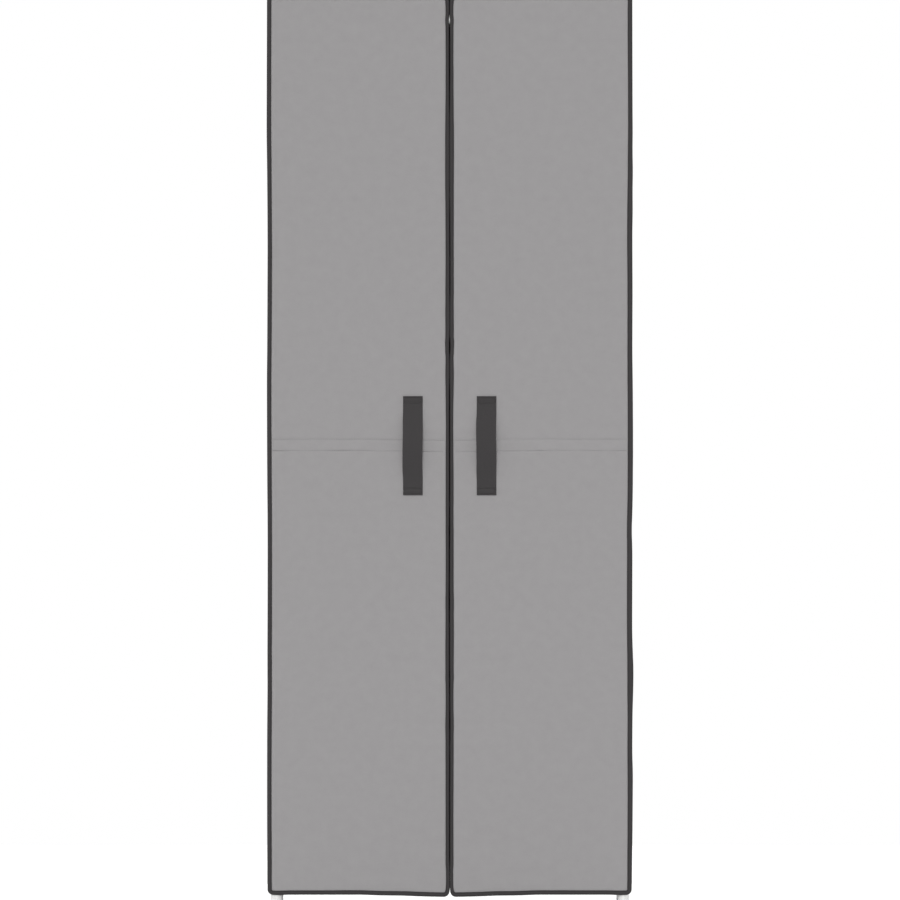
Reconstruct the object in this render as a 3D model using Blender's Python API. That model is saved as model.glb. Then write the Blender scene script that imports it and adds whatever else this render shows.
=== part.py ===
# Fabric shoe cabinet: a white tube frame, seven fabric shelves, a sewn cover and two soft doors.
# Metres, +Z up. The doors face -Y. The origin is on the floor, under the middle of the outer box.

import math

import bmesh
import bpy
from mathutils import Matrix, Vector

# Overall sizes
WIDTH = 0.600  # outer edge of one closed door to the outer edge of the other
DEPTH = 0.320  # front of the door fabric to the outer face of the back sheet
DOOR_HEIGHT = 1.480
HEM_HEIGHT = 0.040  # floor to the lower edge of the doors
COVER_LIFT = 0.007  # lower edge of the doors up to the lower edge of the cover
TIERS = 7  # shelves, counting the lowest one

# Gaps
CLEARANCE = 0.0003  # between two pieces that touch
DOOR_GAP = 0.0016  # between the two closed doors
FOLD_ROOM = 0.001  # side of the cover to the outer edge of a door, where the hinge folds shut
OVERRUN = 0.005  # how far a cutter runs past the piece it cuts

# Tube frame
UPRIGHT_RADIUS = 0.0095
UPRIGHT_WALL = 0.0012
RAIL_RADIUS = 0.008
RAIL_WALL = 0.001
RUNG_RADIUS = 0.004
STUB_LENGTH = 0.030  # how far a welded stub reaches into the end of a rail
RAIL_RISE = 0.030  # hem of the doors up to the axis of the bottom rails
RAIL_DROP = 0.040  # top of the doors down to the axis of the top rails
TUBE_SIDES = 16
RUNG_SIDES = 12

# Plastic fittings
JOINER_INSERT = 0.035  # length of each spigot
JOINER_COLLAR = 0.003
JOINER_BORE = 0.005
SPIGOT_CHAMFER = 0.0012
FOOT_HEIGHT = 0.020
FOOT_WALL = 0.0018
FOOT_SOLE = 0.004
FOOT_CHAMFER = 0.001
CAP_FLANGE = 0.0025
CAP_PLUG = 0.012
CAP_CHAMFER = 0.0007

# Sewn layers and their stiffening boards
FABRIC = 0.0009  # one layer of a pocket
SHEET = 0.0015  # lined sheet of the cover
DOOR_BOARD = 0.0024
SHELF_BOARD = 0.005
TOP_BOARD = 0.003
POCKET_SEAM = 0.004  # edge of a pocket to its board
SHELF_CORNER = 0.003
SHELF_EASE = 0.002  # shelf to the uprights
SHELF_LAP = 0.005  # shelf past the axis of the rungs
TOP_SINK = 0.0005  # top panel below the piping round it

# Binding and piping
BINDING_WIDTH = 0.007
BINDING_TAPE = 0.0013
BINDING_TURN = 0.002  # inside radius at its corners
BINDING_ROUND = 0.0014
PIPING = 0.004
PIPING_ROUND = 0.0011
PIPING_TURN = 0.002  # inside radius at its corners
HEM_TAPE = 0.0009
HEM_BAND = 0.010
HINGE_TAPE = 0.0008
HINGE_TAPE_WIDTH = 0.012
CORNER_STEPS = 6
EDGE_STEPS = 3

# Door details
FOLD_BAND = 0.019  # between the two stitched lines across the middle of a door
FOLD_RECESS = 0.0006
POCKET_MOUTH = 0.008  # slot in the back of a door through which its board goes in
MAGNET_RADIUS = 0.007
MAGNET_INSET = 0.030  # free edge of the door to the magnet
MAGNET_SIDES = 24
HANDLE_WIDTH = 0.033
HANDLE_LENGTH = 0.163
HANDLE_TAB = 0.014  # sewn end of the strap
HANDLE_THICKNESS = 0.0024
HANDLE_BOW = 0.012
HANDLE_INSET = 0.0597  # free edge of the door to the middle of the strap
HANDLE_STEPS = 20

# Sizes that follow from the layers
FLANGE_THICKNESS = 2 * FABRIC
DOOR_THICKNESS = DOOR_BOARD + 2 * (CLEARANCE + FABRIC)
SHELF_THICKNESS = SHELF_BOARD + 2 * (CLEARANCE + FABRIC)
TOP_THICKNESS = TOP_BOARD + 2 * (CLEARANCE + FABRIC)
BINDING_THICKNESS = FLANGE_THICKNESS + 2 * (CLEARANCE + BINDING_TAPE)
HEM_THICKNESS = SHEET + 2 * (CLEARANCE + HEM_TAPE)
HANDLE_REACH = CLEARANCE + HANDLE_BOW + HANDLE_THICKNESS
BINDING_CORNER = BINDING_WIDTH + BINDING_TURN
PIPING_CORNER = PIPING + PIPING_TURN

# Places across the width
DOOR_WIDTH = (WIDTH - DOOR_GAP) / 2
HINGE_X = WIDTH / 2
SIDE_REACH = max(SHEET / 2 + CLEARANCE + HINGE_TAPE, PIPING / 2, HEM_THICKNESS / 2)
SIDE_MID = HINGE_X - FOLD_ROOM - SIDE_REACH
UPRIGHT_X = SIDE_MID - HEM_THICKNESS / 2 - CLEARANCE - UPRIGHT_RADIUS

# Places through the depth
BACK_REACH = max(SHEET, PIPING, HEM_THICKNESS) / 2
FRONT = (HANDLE_REACH - (DEPTH - SHEET / 2 + BACK_REACH)) / 2
DOOR_MID = FRONT + DOOR_THICKNESS / 2
HINGE_Y = DOOR_MID + max(DOOR_THICKNESS, BINDING_THICKNESS) / 2
COVER_FRONT = HINGE_Y + CLEARANCE
BACK_MID = FRONT + DEPTH - SHEET / 2
CORNER_INSET = max(PIPING, HEM_THICKNESS) / 2 + CLEARANCE
SHEET_REAR = BACK_MID - CORNER_INSET
SHEET_ACROSS = SIDE_MID - CORNER_INSET
UPRIGHT_FRONT = COVER_FRONT + UPRIGHT_RADIUS
UPRIGHT_REAR = BACK_MID - HEM_THICKNESS / 2 - CLEARANCE - UPRIGHT_RADIUS
FRAME_MID = (UPRIGHT_FRONT + UPRIGHT_REAR) / 2
FRAME_SPAN = UPRIGHT_REAR - UPRIGHT_FRONT

# Places up the height
DOOR_TOP = HEM_HEIGHT + DOOR_HEIGHT
COVER_HEM = HEM_HEIGHT + COVER_LIFT
BOTTOM_RAIL = HEM_HEIGHT + RAIL_RISE
TOP_RAIL = DOOR_TOP - RAIL_DROP
PITCH = (TOP_RAIL - BOTTOM_RAIL) / TIERS
LOWER_RUNGS = TIERS // 2 + 1
JOINT = BOTTOM_RAIL + PITCH * (LOWER_RUNGS - 0.5)
TOP_UNDERSIDE = DOOR_TOP - TOP_SINK - TOP_THICKNESS
UPRIGHT_TOP = TOP_UNDERSIDE - CLEARANCE - CAP_FLANGE - CLEARANCE
UPRIGHT_FOOT = FOOT_SOLE + CLEARANCE
PIPING_UNDERSIDE = DOOR_TOP - PIPING
BORE_RADIUS = UPRIGHT_RADIUS - UPRIGHT_WALL
SPIGOT_RADIUS = BORE_RADIUS - CLEARANCE
RAIL_LENGTH = 2 * (UPRIGHT_X - UPRIGHT_RADIUS - CLEARANCE)

X_AXIS = Vector((1, 0, 0))
Y_AXIS = Vector((0, 1, 0))
Z_AXIS = Vector((0, 0, 1))
QUARTER = math.pi / 2
SMOOTH_ANGLE = math.radians(35)


def finish(name, colour, roughness, metallic=0.0):
    """A plain material with the colour that the piece has."""
    made = bpy.data.materials.new(name)
    made.use_nodes = True
    shader = made.node_tree.nodes["Principled BSDF"]
    shader.inputs["Base Color"].default_value = (*colour, 1.0)
    shader.inputs["Roughness"].default_value = roughness
    shader.inputs["Metallic"].default_value = metallic
    made.diffuse_color = (*colour, 1.0)
    return made


def mesh_of(name, bm):
    """Closes a bmesh into a mesh whose faces point out, smooth on its round sides."""
    bmesh.ops.recalc_face_normals(bm, faces=bm.faces)
    mesh = bpy.data.meshes.new(name)
    bm.to_mesh(mesh)
    bm.free()
    mesh.shade_smooth()
    mesh.set_sharp_from_angle(angle=SMOOTH_ANGLE)
    return mesh


def place(name, mesh, material, location=(0, 0, 0), turn=0.0, parent=None):
    """An object for the mesh, set down at its place and turned about +Z."""
    obj = bpy.data.objects.new(name, mesh)
    if not mesh.materials:
        mesh.materials.append(material)
    bpy.context.scene.collection.objects.link(obj)
    obj.location = location
    obj.rotation_euler = (0, 0, turn)
    obj.parent = parent
    return obj


def block(low, high):
    """A box between two corners, in either order."""
    low, high = Vector(map(min, low, high)), Vector(map(max, low, high))
    bm = bmesh.new()
    bmesh.ops.create_cube(bm, size=1)
    bmesh.ops.transform(bm, matrix=Matrix.Diagonal((*(high - low), 1)), verts=bm.verts)
    bmesh.ops.translate(bm, vec=(low + high) / 2, verts=bm.verts)
    return bm


def rod(radius, start, end, sides):
    """A cylinder from one point to another."""
    start, end = Vector(start), Vector(end)
    run = end - start
    bm = bmesh.new()
    bmesh.ops.create_cone(
        bm, cap_ends=True, segments=sides, radius1=radius, radius2=radius, depth=run.length
    )
    turn = Z_AXIS.rotation_difference(run.normalized()).to_matrix().to_4x4()
    bmesh.ops.transform(bm, matrix=Matrix.Translation((start + end) / 2) @ turn, verts=bm.verts)
    return bm


def turned(profile, sides, closed):
    """A profile of (radius, height) points spun once about the Z axis."""
    bm = bmesh.new()
    points = [bm.verts.new((radius, 0, height)) for radius, height in profile]
    ends = points[1:] + (points[:1] if closed else [])
    edges = [bm.edges.new((a, b)) for a, b in zip(points, ends)]
    bmesh.ops.spin(
        bm, geom=points + edges, axis=Z_AXIS, cent=(0, 0, 0), angle=math.tau, steps=sides, use_merge=True
    )
    bmesh.ops.remove_doubles(bm, verts=bm.verts, dist=CLEARANCE / 100)
    return bm


def swept(stations, profile, through, closed):
    """A profile of (inward, through) points carried along stations of (point, inward direction)."""
    bm = bmesh.new()
    rings = [
        [bm.verts.new(point + inward * u + through * v) for u, v in profile]
        for point, inward in stations
    ]
    pairs = list(zip(rings, rings[1:]))
    if closed:
        pairs.append((rings[-1], rings[0]))
    count = len(profile)
    for near, far in pairs:
        for i in range(count):
            j = (i + 1) % count
            bm.faces.new((near[i], near[j], far[j], far[i]))
    if not closed:
        bm.faces.new(rings[0])
        bm.faces.new(rings[-1])
    return bm


def corner_arc(centre, radius, start, right, up):
    """Stations round a quarter of a circle, from the start angle on, each pointing to the centre."""
    stations = []
    for step in range(CORNER_STEPS + 1):
        angle = start + QUARTER * step / CORNER_STEPS
        outward = right * math.cos(angle) + up * math.sin(angle)
        stations.append((centre + outward * radius, -outward))
    return stations


def rounded_outline(low, high, radius, right, up):
    """Stations round a rectangle with round corners, given as (across, up) corners of its plane."""
    centres = [
        (high[0] - radius, high[1] - radius),
        (low[0] + radius, high[1] - radius),
        (low[0] + radius, low[1] + radius),
        (high[0] - radius, low[1] + radius),
    ]
    stations = []
    for quarter, (across, height) in enumerate(centres):
        centre = right * across + up * height
        stations += corner_arc(centre, radius, QUARTER * quarter, right, up)
    return stations


def plate(outline, offset, run):
    """A flat plate: the points of an outline, moved by the offset and then extruded along the run."""
    bm = bmesh.new()
    face = bm.faces.new([bm.verts.new(point + offset) for point, _ in outline])
    grown = bmesh.ops.extrude_face_region(bm, geom=[face])
    moved = [item for item in grown["geom"] if isinstance(item, bmesh.types.BMVert)]
    bmesh.ops.translate(bm, vec=run, verts=moved)
    return bm


def slab(low, high, radius, thickness, middle):
    """An upright plate with round corners, its thickness along Y about a middle plane."""
    outline = rounded_outline(low, high, radius, X_AXIS, Z_AXIS)
    return plate(outline, Y_AXIS * (middle - thickness / 2), Y_AXIS * thickness)


def helper(bm):
    """An object that exists only to cut or join another."""
    obj = bpy.data.objects.new("helper", mesh_of("helper", bm))
    bpy.context.scene.collection.objects.link(obj)
    return obj


def shaped(name, base, joined=(), cut=()):
    """The base with some solids joined to it and then others cut from it, as one mesh."""
    body = helper(base)
    tools = [(helper(bm), "UNION") for bm in joined]
    tools += [(helper(bm), "DIFFERENCE") for bm in cut]
    for tool, operation in tools:
        modifier = body.modifiers.new(operation.lower(), "BOOLEAN")
        modifier.object = tool
        modifier.operation = operation
        modifier.solver = "EXACT"
    graph = bpy.context.evaluated_depsgraph_get()
    mesh = bpy.data.meshes.new_from_object(body.evaluated_get(graph))
    mesh.name = name
    for obj in [body] + [tool for tool, _ in tools]:
        bpy.data.objects.remove(obj)
    mesh.shade_smooth()
    mesh.set_sharp_from_angle(angle=SMOOTH_ANGLE)
    return mesh


def rung_heights(first, count):
    """Heights of a run of rungs, numbered from the bottom one."""
    return [BOTTOM_RAIL + PITCH * (first + step) for step in range(count)]


def side_frame_mesh(name, low, high, rungs, stub):
    """Half of a welded side ladder: two tubes, the rungs between them and a stub for each rail.

    Its own origin is midway between the tubes, on the floor, and the stubs point along +X.
    """
    places = [-FRAME_SPAN / 2, FRAME_SPAN / 2]
    tubes = [rod(UPRIGHT_RADIUS, (0, y, low), (0, y, high), TUBE_SIDES) for y in places]
    bars = [rod(RUNG_RADIUS, (0, places[0], z), (0, places[1], z), RUNG_SIDES) for z in rungs]
    stub_radius = RAIL_RADIUS - RAIL_WALL - CLEARANCE
    stub_end = UPRIGHT_RADIUS + CLEARANCE + STUB_LENGTH
    stubs = [rod(stub_radius, (0, y, stub), (stub_end, y, stub), TUBE_SIDES) for y in places]
    bores = [
        rod(BORE_RADIUS, (0, y, low - OVERRUN), (0, y, high + OVERRUN), TUBE_SIDES) for y in places
    ]
    return shaped(name, tubes[0], tubes[1:] + bars + stubs, bores)


def tube_mesh(name, radius, wall, length):
    """A plain tube along Z about its own middle."""
    profile = [
        (radius, -length / 2),
        (radius, length / 2),
        (radius - wall, length / 2),
        (radius - wall, -length / 2),
    ]
    return mesh_of(name, turned(profile, TUBE_SIDES, closed=True))


def joiner_mesh():
    """A sleeve that plugs into the ends of two tubes, with a collar between them."""
    half = JOINER_COLLAR / 2
    tip = half + CLEARANCE + JOINER_INSERT
    outside = [
        (SPIGOT_RADIUS - SPIGOT_CHAMFER, -tip),
        (SPIGOT_RADIUS, -tip + SPIGOT_CHAMFER),
        (SPIGOT_RADIUS, -half),
        (UPRIGHT_RADIUS, -half),
        (UPRIGHT_RADIUS, half),
        (SPIGOT_RADIUS, half),
        (SPIGOT_RADIUS, tip - SPIGOT_CHAMFER),
        (SPIGOT_RADIUS - SPIGOT_CHAMFER, tip),
    ]
    profile = outside + [(JOINER_BORE, tip), (JOINER_BORE, -tip)]
    return mesh_of("upright_joiner", turned(profile, TUBE_SIDES, closed=True))


def foot_mesh():
    """A cup that the lower end of an upright stands in."""
    inside = UPRIGHT_RADIUS + CLEARANCE
    outside = inside + FOOT_WALL
    profile = [
        (0, 0),
        (outside - FOOT_CHAMFER, 0),
        (outside, FOOT_CHAMFER),
        (outside, FOOT_HEIGHT - FOOT_CHAMFER),
        (outside - FOOT_CHAMFER, FOOT_HEIGHT),
        (inside, FOOT_HEIGHT),
        (inside, FOOT_SOLE),
        (0, FOOT_SOLE),
    ]
    return mesh_of("foot_cap", turned(profile, TUBE_SIDES, closed=False))


def cap_mesh():
    """A plug for the top of an upright. Its own origin is on the end of the tube."""
    profile = [
        (0, -CAP_PLUG),
        (SPIGOT_RADIUS - SPIGOT_CHAMFER, -CAP_PLUG),
        (SPIGOT_RADIUS, SPIGOT_CHAMFER - CAP_PLUG),
        (SPIGOT_RADIUS, CLEARANCE),
        (UPRIGHT_RADIUS, CLEARANCE),
        (UPRIGHT_RADIUS, CLEARANCE + CAP_FLANGE - CAP_CHAMFER),
        (UPRIGHT_RADIUS - CAP_CHAMFER, CLEARANCE + CAP_FLANGE),
        (0, CLEARANCE + CAP_FLANGE),
    ]
    return mesh_of("upright_cap", turned(profile, TUBE_SIDES, closed=False))


def build_frame(root, paint, plastic):
    """The side ladders, the rails between them and the plastic fittings."""
    lower_end = JOINT - JOINER_COLLAR / 2 - CLEARANCE
    upper_end = JOINT + JOINER_COLLAR / 2 + CLEARANCE
    lower_rungs = rung_heights(0, LOWER_RUNGS)
    upper_rungs = rung_heights(LOWER_RUNGS, TIERS + 1 - LOWER_RUNGS)
    halves = {
        "lower": side_frame_mesh("side_frame_lower", UPRIGHT_FOOT, lower_end, lower_rungs, BOTTOM_RAIL),
        "upper": side_frame_mesh("side_frame_upper", upper_end, UPRIGHT_TOP, upper_rungs, TOP_RAIL),
    }
    foot, joiner, cap = foot_mesh(), joiner_mesh(), cap_mesh()
    rail = tube_mesh("rail", RAIL_RADIUS, RAIL_WALL, RAIL_LENGTH)
    for side, x, turn in (("left", -UPRIGHT_X, 0), ("right", UPRIGHT_X, math.pi)):
        for half, mesh in halves.items():
            place(f"side_frame_{side}_{half}", mesh, paint, (x, FRAME_MID, 0), turn, root)
        for row, y in (("front", UPRIGHT_FRONT), ("rear", UPRIGHT_REAR)):
            corner = f"{row}_{side}"
            place(f"foot_cap_{corner}", foot, plastic, (x, y, 0), parent=root)
            place(f"upright_joiner_{corner}", joiner, plastic, (x, y, JOINT), parent=root)
            place(f"upright_cap_{corner}", cap, plastic, (x, y, UPRIGHT_TOP), parent=root)
    for level, z in (("bottom", BOTTOM_RAIL), ("top", TOP_RAIL)):
        for row, y in (("front", UPRIGHT_FRONT), ("rear", UPRIGHT_REAR)):
            made = place(f"rail_{level}_{row}", rail, paint, (0, y, z), parent=root)
            made.rotation_euler = (0, QUARTER, 0)


def pocket_mesh(name, half_width, depth, board, corner):
    """A flat fabric pocket that is open along its rear edge. Its own origin is under its middle."""
    thickness = board + 2 * (CLEARANCE + FABRIC)
    low, high = (-half_width, -depth / 2), (half_width, depth / 2)
    outer = plate(rounded_outline(low, high, corner, X_AXIS, Y_AXIS), Vector(), Z_AXIS * thickness)
    hollow_half = half_width - POCKET_SEAM
    hollow = block(
        (-hollow_half, POCKET_SEAM - depth / 2, FABRIC),
        (hollow_half, depth / 2 + OVERRUN, thickness - FABRIC),
    )
    return shaped(name, outer, cut=[hollow])


def board_mesh(name, half_width, depth, board):
    """The stiff board in such a pocket, flush with the pocket's open edge."""
    half = half_width - POCKET_SEAM - CLEARANCE
    front = POCKET_SEAM + CLEARANCE - depth / 2
    low = FABRIC + CLEARANCE
    return mesh_of(name, block((-half, front, low), (half, depth / 2, low + board)))


def build_shelves(root, cloth, fibreboard):
    """One pocket and one board on each pair of rungs but the top pair."""
    half_width = UPRIGHT_X + SHELF_LAP
    depth = FRAME_SPAN - 2 * (UPRIGHT_RADIUS + SHELF_EASE)
    pocket = pocket_mesh("shelf", half_width, depth, SHELF_BOARD, SHELF_CORNER)
    board = board_mesh("shelf_board", half_width, depth, SHELF_BOARD)
    for number, rung in enumerate(rung_heights(0, TIERS), start=1):
        spot = (0, FRAME_MID, rung + RUNG_RADIUS + CLEARANCE)
        place(f"shelf_{number}", pocket, cloth, spot, parent=root)
        place(f"shelf_board_{number}", board, fibreboard, spot, parent=root)


def rounded_section(width, height, cut):
    """A rectangle centred on the path, with its corners taken off."""
    u, v = width / 2, height / 2
    return [
        (u - cut, -v),
        (u, cut - v),
        (u, v - cut),
        (u - cut, v),
        (cut - u, v),
        (-u, v - cut),
        (-u, cut - v),
        (cut - u, -v),
    ]


def hem_stations():
    """The way along the outer face of the hem: left side, back and right side."""
    side, radius = SIDE_MID + HEM_THICKNESS / 2, CORNER_INSET + HEM_THICKNESS / 2
    stations = [(Vector((side, COVER_FRONT, 0)), -X_AXIS)]
    for sign, start in ((1, 0), (-1, QUARTER)):
        centre = Vector((sign * SHEET_ACROSS, SHEET_REAR, 0))
        stations += corner_arc(centre, radius, start, X_AXIS, Y_AXIS)
    stations.append((Vector((-side, COVER_FRONT, 0)), X_AXIS))
    return stations


def build_cover(root, cloth, trim, fibreboard):
    """The sewn cover: two sides, the back, the stiffened top, their piping and the hem."""
    low = COVER_HEM + HEM_TAPE + CLEARANCE
    high = PIPING_UNDERSIDE - CLEARANCE
    for side, sign in (("left", -1), ("right", 1)):
        inner, outer = sign * (SIDE_MID - SHEET / 2), sign * (SIDE_MID + SHEET / 2)
        sheet = mesh_of("cover_side", block((inner, COVER_FRONT, low), (outer, SHEET_REAR, high)))
        place(f"cover_{side}_side", sheet, cloth, parent=root)

        face = sign * (SIDE_MID + SHEET / 2 + CLEARANCE)
        tape_low = (face, COVER_FRONT, COVER_HEM + HEM_BAND + CLEARANCE)
        tape_high = (face + sign * HINGE_TAPE, COVER_FRONT + HINGE_TAPE_WIDTH, high)
        place(f"hinge_tape_{side}", mesh_of("hinge_tape", block(tape_low, tape_high)), trim, parent=root)

        section = rounded_section(PIPING, PIPING, PIPING_ROUND)
        ends = [COVER_HEM + HEM_BAND + CLEARANCE, high]
        stations = [(Vector((sign * SIDE_MID, BACK_MID, z)), -X_AXIS) for z in ends]
        cord = mesh_of("rear_piping", swept(stations, section, Y_AXIS, closed=False))
        place(f"rear_piping_{side}", cord, trim, parent=root)

    back_low, back_high = BACK_MID - SHEET / 2, BACK_MID + SHEET / 2
    back = mesh_of("cover_back", block((-SHEET_ACROSS, back_low, low), (SHEET_ACROSS, back_high, high)))
    place("cover_back", back, cloth, parent=root)

    across = SIDE_MID - PIPING / 2 - CLEARANCE
    top_front, top_rear = COVER_FRONT + PIPING + CLEARANCE, BACK_MID - PIPING / 2 - CLEARANCE
    top_depth = top_rear - top_front
    spot = (0, (top_front + top_rear) / 2, TOP_UNDERSIDE)
    pocket = pocket_mesh("cover_top", across, top_depth, TOP_BOARD, PIPING_TURN - CLEARANCE)
    board = board_mesh("top_board", across, top_depth, TOP_BOARD)
    place("cover_top", pocket, cloth, spot, parent=root)
    place("top_board", board, fibreboard, spot, parent=root)

    half = PIPING / 2
    ring_low, ring_high = (-SIDE_MID - half, COVER_FRONT), (SIDE_MID + half, BACK_MID + half)
    outline = rounded_outline(ring_low, ring_high, PIPING_CORNER, X_AXIS, Y_AXIS)
    section = [(u + half, v) for u, v in rounded_section(PIPING, PIPING, PIPING_ROUND)]
    ring = mesh_of("top_piping", swept(outline, section, Z_AXIS, closed=True))
    place("top_piping", ring, trim, (0, 0, DOOR_TOP - half), parent=root)

    slot_near, slot_far = HEM_TAPE, HEM_THICKNESS - HEM_TAPE
    channel = [
        (0, 0),
        (HEM_THICKNESS, 0),
        (HEM_THICKNESS, HEM_BAND),
        (slot_far, HEM_BAND),
        (slot_far, HEM_TAPE),
        (slot_near, HEM_TAPE),
        (slot_near, HEM_BAND),
        (0, HEM_BAND),
    ]
    hem = mesh_of("hem_binding", swept(hem_stations(), channel, Z_AXIS, closed=False))
    place("hem_binding", hem, trim, (0, 0, COVER_HEM), parent=root)


def pocket_span(door_half):
    """Lowest and highest point of the upper or lower pocket of a door, from its lower edge."""
    margin = BINDING_WIDTH + CLEARANCE + POCKET_SEAM
    fold_low, fold_high = (DOOR_HEIGHT - FOLD_BAND) / 2, (DOOR_HEIGHT + FOLD_BAND) / 2
    if door_half == "lower":
        return margin, fold_low - POCKET_SEAM
    return fold_high + POCKET_SEAM, DOOR_HEIGHT - margin


def door_fabric_mesh(side):
    """Two sewn layers with a pocket above and one below the fold, and a flange for the binding.

    As in every door piece, x runs from the hinge to the free edge, mirrored on the right door.
    """
    middle = DOOR_MID - HINGE_Y
    flange, plate = BINDING_TAPE + CLEARANCE, BINDING_WIDTH + CLEARANCE
    ends = sorted((side * flange, side * (DOOR_WIDTH - flange)))
    flange_slab = slab(
        (ends[0], flange), (ends[1], DOOR_HEIGHT - flange), BINDING_CORNER - flange, FLANGE_THICKNESS, middle
    )
    ends = sorted((side * plate, side * (DOOR_WIDTH - plate)))
    plate_slab = slab(
        (ends[0], plate), (ends[1], DOOR_HEIGHT - plate), BINDING_CORNER - plate, DOOR_THICKNESS, middle
    )
    front, back = middle - DOOR_THICKNESS / 2, middle + DOOR_THICKNESS / 2
    near, far = plate + POCKET_SEAM, DOOR_WIDTH - plate - POCKET_SEAM
    cuts = []
    for half in ("lower", "upper"):
        low, high = pocket_span(half)
        cuts.append(block((side * near, front + FABRIC, low), (side * far, back - FABRIC, high)))
        mouth_low, mouth_high = (high - POCKET_MOUTH, high) if half == "lower" else (low, low + POCKET_MOUTH)
        through = middle, back + OVERRUN
        cuts.append(block((side * near, through[0], mouth_low), (side * far, through[1], mouth_high)))
    fold_low, fold_high = (DOOR_HEIGHT - FOLD_BAND) / 2, (DOOR_HEIGHT + FOLD_BAND) / 2
    start, end = side * (flange - OVERRUN), side * (DOOR_WIDTH - flange + OVERRUN)
    for inner, outer in ((front + FOLD_RECESS, front - OVERRUN), (back - FOLD_RECESS, back + OVERRUN)):
        cuts.append(block((start, inner, fold_low), (end, outer, fold_high)))
    return shaped("door_fabric", plate_slab, [flange_slab], cuts)


def door_board_mesh(side, half, magnet_height):
    """The stiff board of a door pocket, with a hole for its magnet."""
    middle = DOOR_MID - HINGE_Y
    low, high = pocket_span(half)
    inset = BINDING_WIDTH + CLEARANCE + POCKET_SEAM + CLEARANCE
    near, far = side * inset, side * (DOOR_WIDTH - inset)
    front, back = middle - DOOR_BOARD / 2, middle + DOOR_BOARD / 2
    plate = block((near, front, low + CLEARANCE), (far, back, high - CLEARANCE))
    across = side * (DOOR_WIDTH - MAGNET_INSET)
    start, end = (across, front - OVERRUN, magnet_height), (across, back + OVERRUN, magnet_height)
    return shaped("door_board", plate, cut=[rod(MAGNET_RADIUS + CLEARANCE, start, end, MAGNET_SIDES)])


def binding_mesh(side):
    """A folded tape round the whole edge of a door, with a groove for the door's flange."""
    width, half = BINDING_WIDTH, BINDING_THICKNESS / 2
    groove, bottom = FLANGE_THICKNESS / 2 + CLEARANCE, BINDING_TAPE
    section = [(width, -half)]
    for sign in (-1, 1):
        arc = [QUARTER * step / EDGE_STEPS for step in range(EDGE_STEPS + 1)]
        rounded = [
            (BINDING_ROUND * (1 - math.cos(a)), sign * (half - BINDING_ROUND * (1 - math.sin(a))))
            for a in arc
        ]
        section += rounded[::-1] if sign < 0 else rounded
    section += [(width, half), (width, groove), (bottom, groove), (bottom, -groove), (width, -groove)]
    ends = sorted((0, side * DOOR_WIDTH))
    outline = rounded_outline((ends[0], 0), (ends[1], DOOR_HEIGHT), BINDING_CORNER, X_AXIS, Z_AXIS)
    bm = swept(outline, section, Y_AXIS, closed=True)
    bmesh.ops.translate(bm, vec=Y_AXIS * (DOOR_MID - HINGE_Y), verts=bm.verts)
    return mesh_of("door_binding", bm)


def handle_mesh():
    """A flat strap whose sewn ends lie on the door and whose middle bows out.

    Its own origin is on the face of the door, at the middle of the strap.
    """
    free = HANDLE_LENGTH - 2 * HANDLE_TAB
    heights = [-HANDLE_LENGTH / 2]
    heights += [free * (step / HANDLE_STEPS - 0.5) for step in range(HANDLE_STEPS + 1)]
    heights += [HANDLE_LENGTH / 2]
    bm = bmesh.new()
    rings = []
    for z in heights:
        share = max(0.0, 1 - abs(z) / (free / 2))
        lift = CLEARANCE + HANDLE_BOW * (1 - math.cos(math.pi * share)) / 2
        half = HANDLE_WIDTH / 2
        corners = [(-half, -lift), (half, -lift), (half, -lift - HANDLE_THICKNESS)]
        corners.append((-half, -lift - HANDLE_THICKNESS))
        rings.append([bm.verts.new((x, y, z)) for x, y in corners])
    for lower, upper in zip(rings, rings[1:]):
        for i in range(4):
            j = (i + 1) % 4
            bm.faces.new((lower[i], lower[j], upper[j], upper[i]))
    bm.faces.new(rings[0])
    bm.faces.new(rings[-1])
    return mesh_of("handle", bm)


def magnet_mesh():
    """A disc with its axis along Y, about its own middle."""
    half = DOOR_BOARD / 2
    return mesh_of("magnet", rod(MAGNET_RADIUS, (0, -half, 0), (0, half, 0), MAGNET_SIDES))


def build_doors(cloth, trim, fibreboard, metal):
    """Each door hangs on an empty that stands on its hinge line."""
    handle, magnet = handle_mesh(), magnet_mesh()
    magnet_heights = {"lower": BOTTOM_RAIL - HEM_HEIGHT, "upper": TOP_RAIL - HEM_HEIGHT}
    for name, side in (("left", 1), ("right", -1)):
        hinge = bpy.data.objects.new(f"{name}_door_hinge", None)
        bpy.context.scene.collection.objects.link(hinge)
        hinge.location = (-side * HINGE_X, HINGE_Y, HEM_HEIGHT)
        place(f"{name}_door_fabric", door_fabric_mesh(side), cloth, parent=hinge)
        place(f"{name}_door_binding", binding_mesh(side), trim, parent=hinge)
        grip = (side * (DOOR_WIDTH - HANDLE_INSET), FRONT - HINGE_Y, DOOR_HEIGHT / 2)
        place(f"{name}_door_handle", handle, trim, grip, parent=hinge)
        for half, height in magnet_heights.items():
            board = door_board_mesh(side, half, height)
            place(f"{name}_door_board_{half}", board, fibreboard, parent=hinge)
            spot = (side * (DOOR_WIDTH - MAGNET_INSET), DOOR_MID - HINGE_Y, height)
            place(f"{name}_door_magnet_{half}", magnet, metal, spot, parent=hinge)


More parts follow.
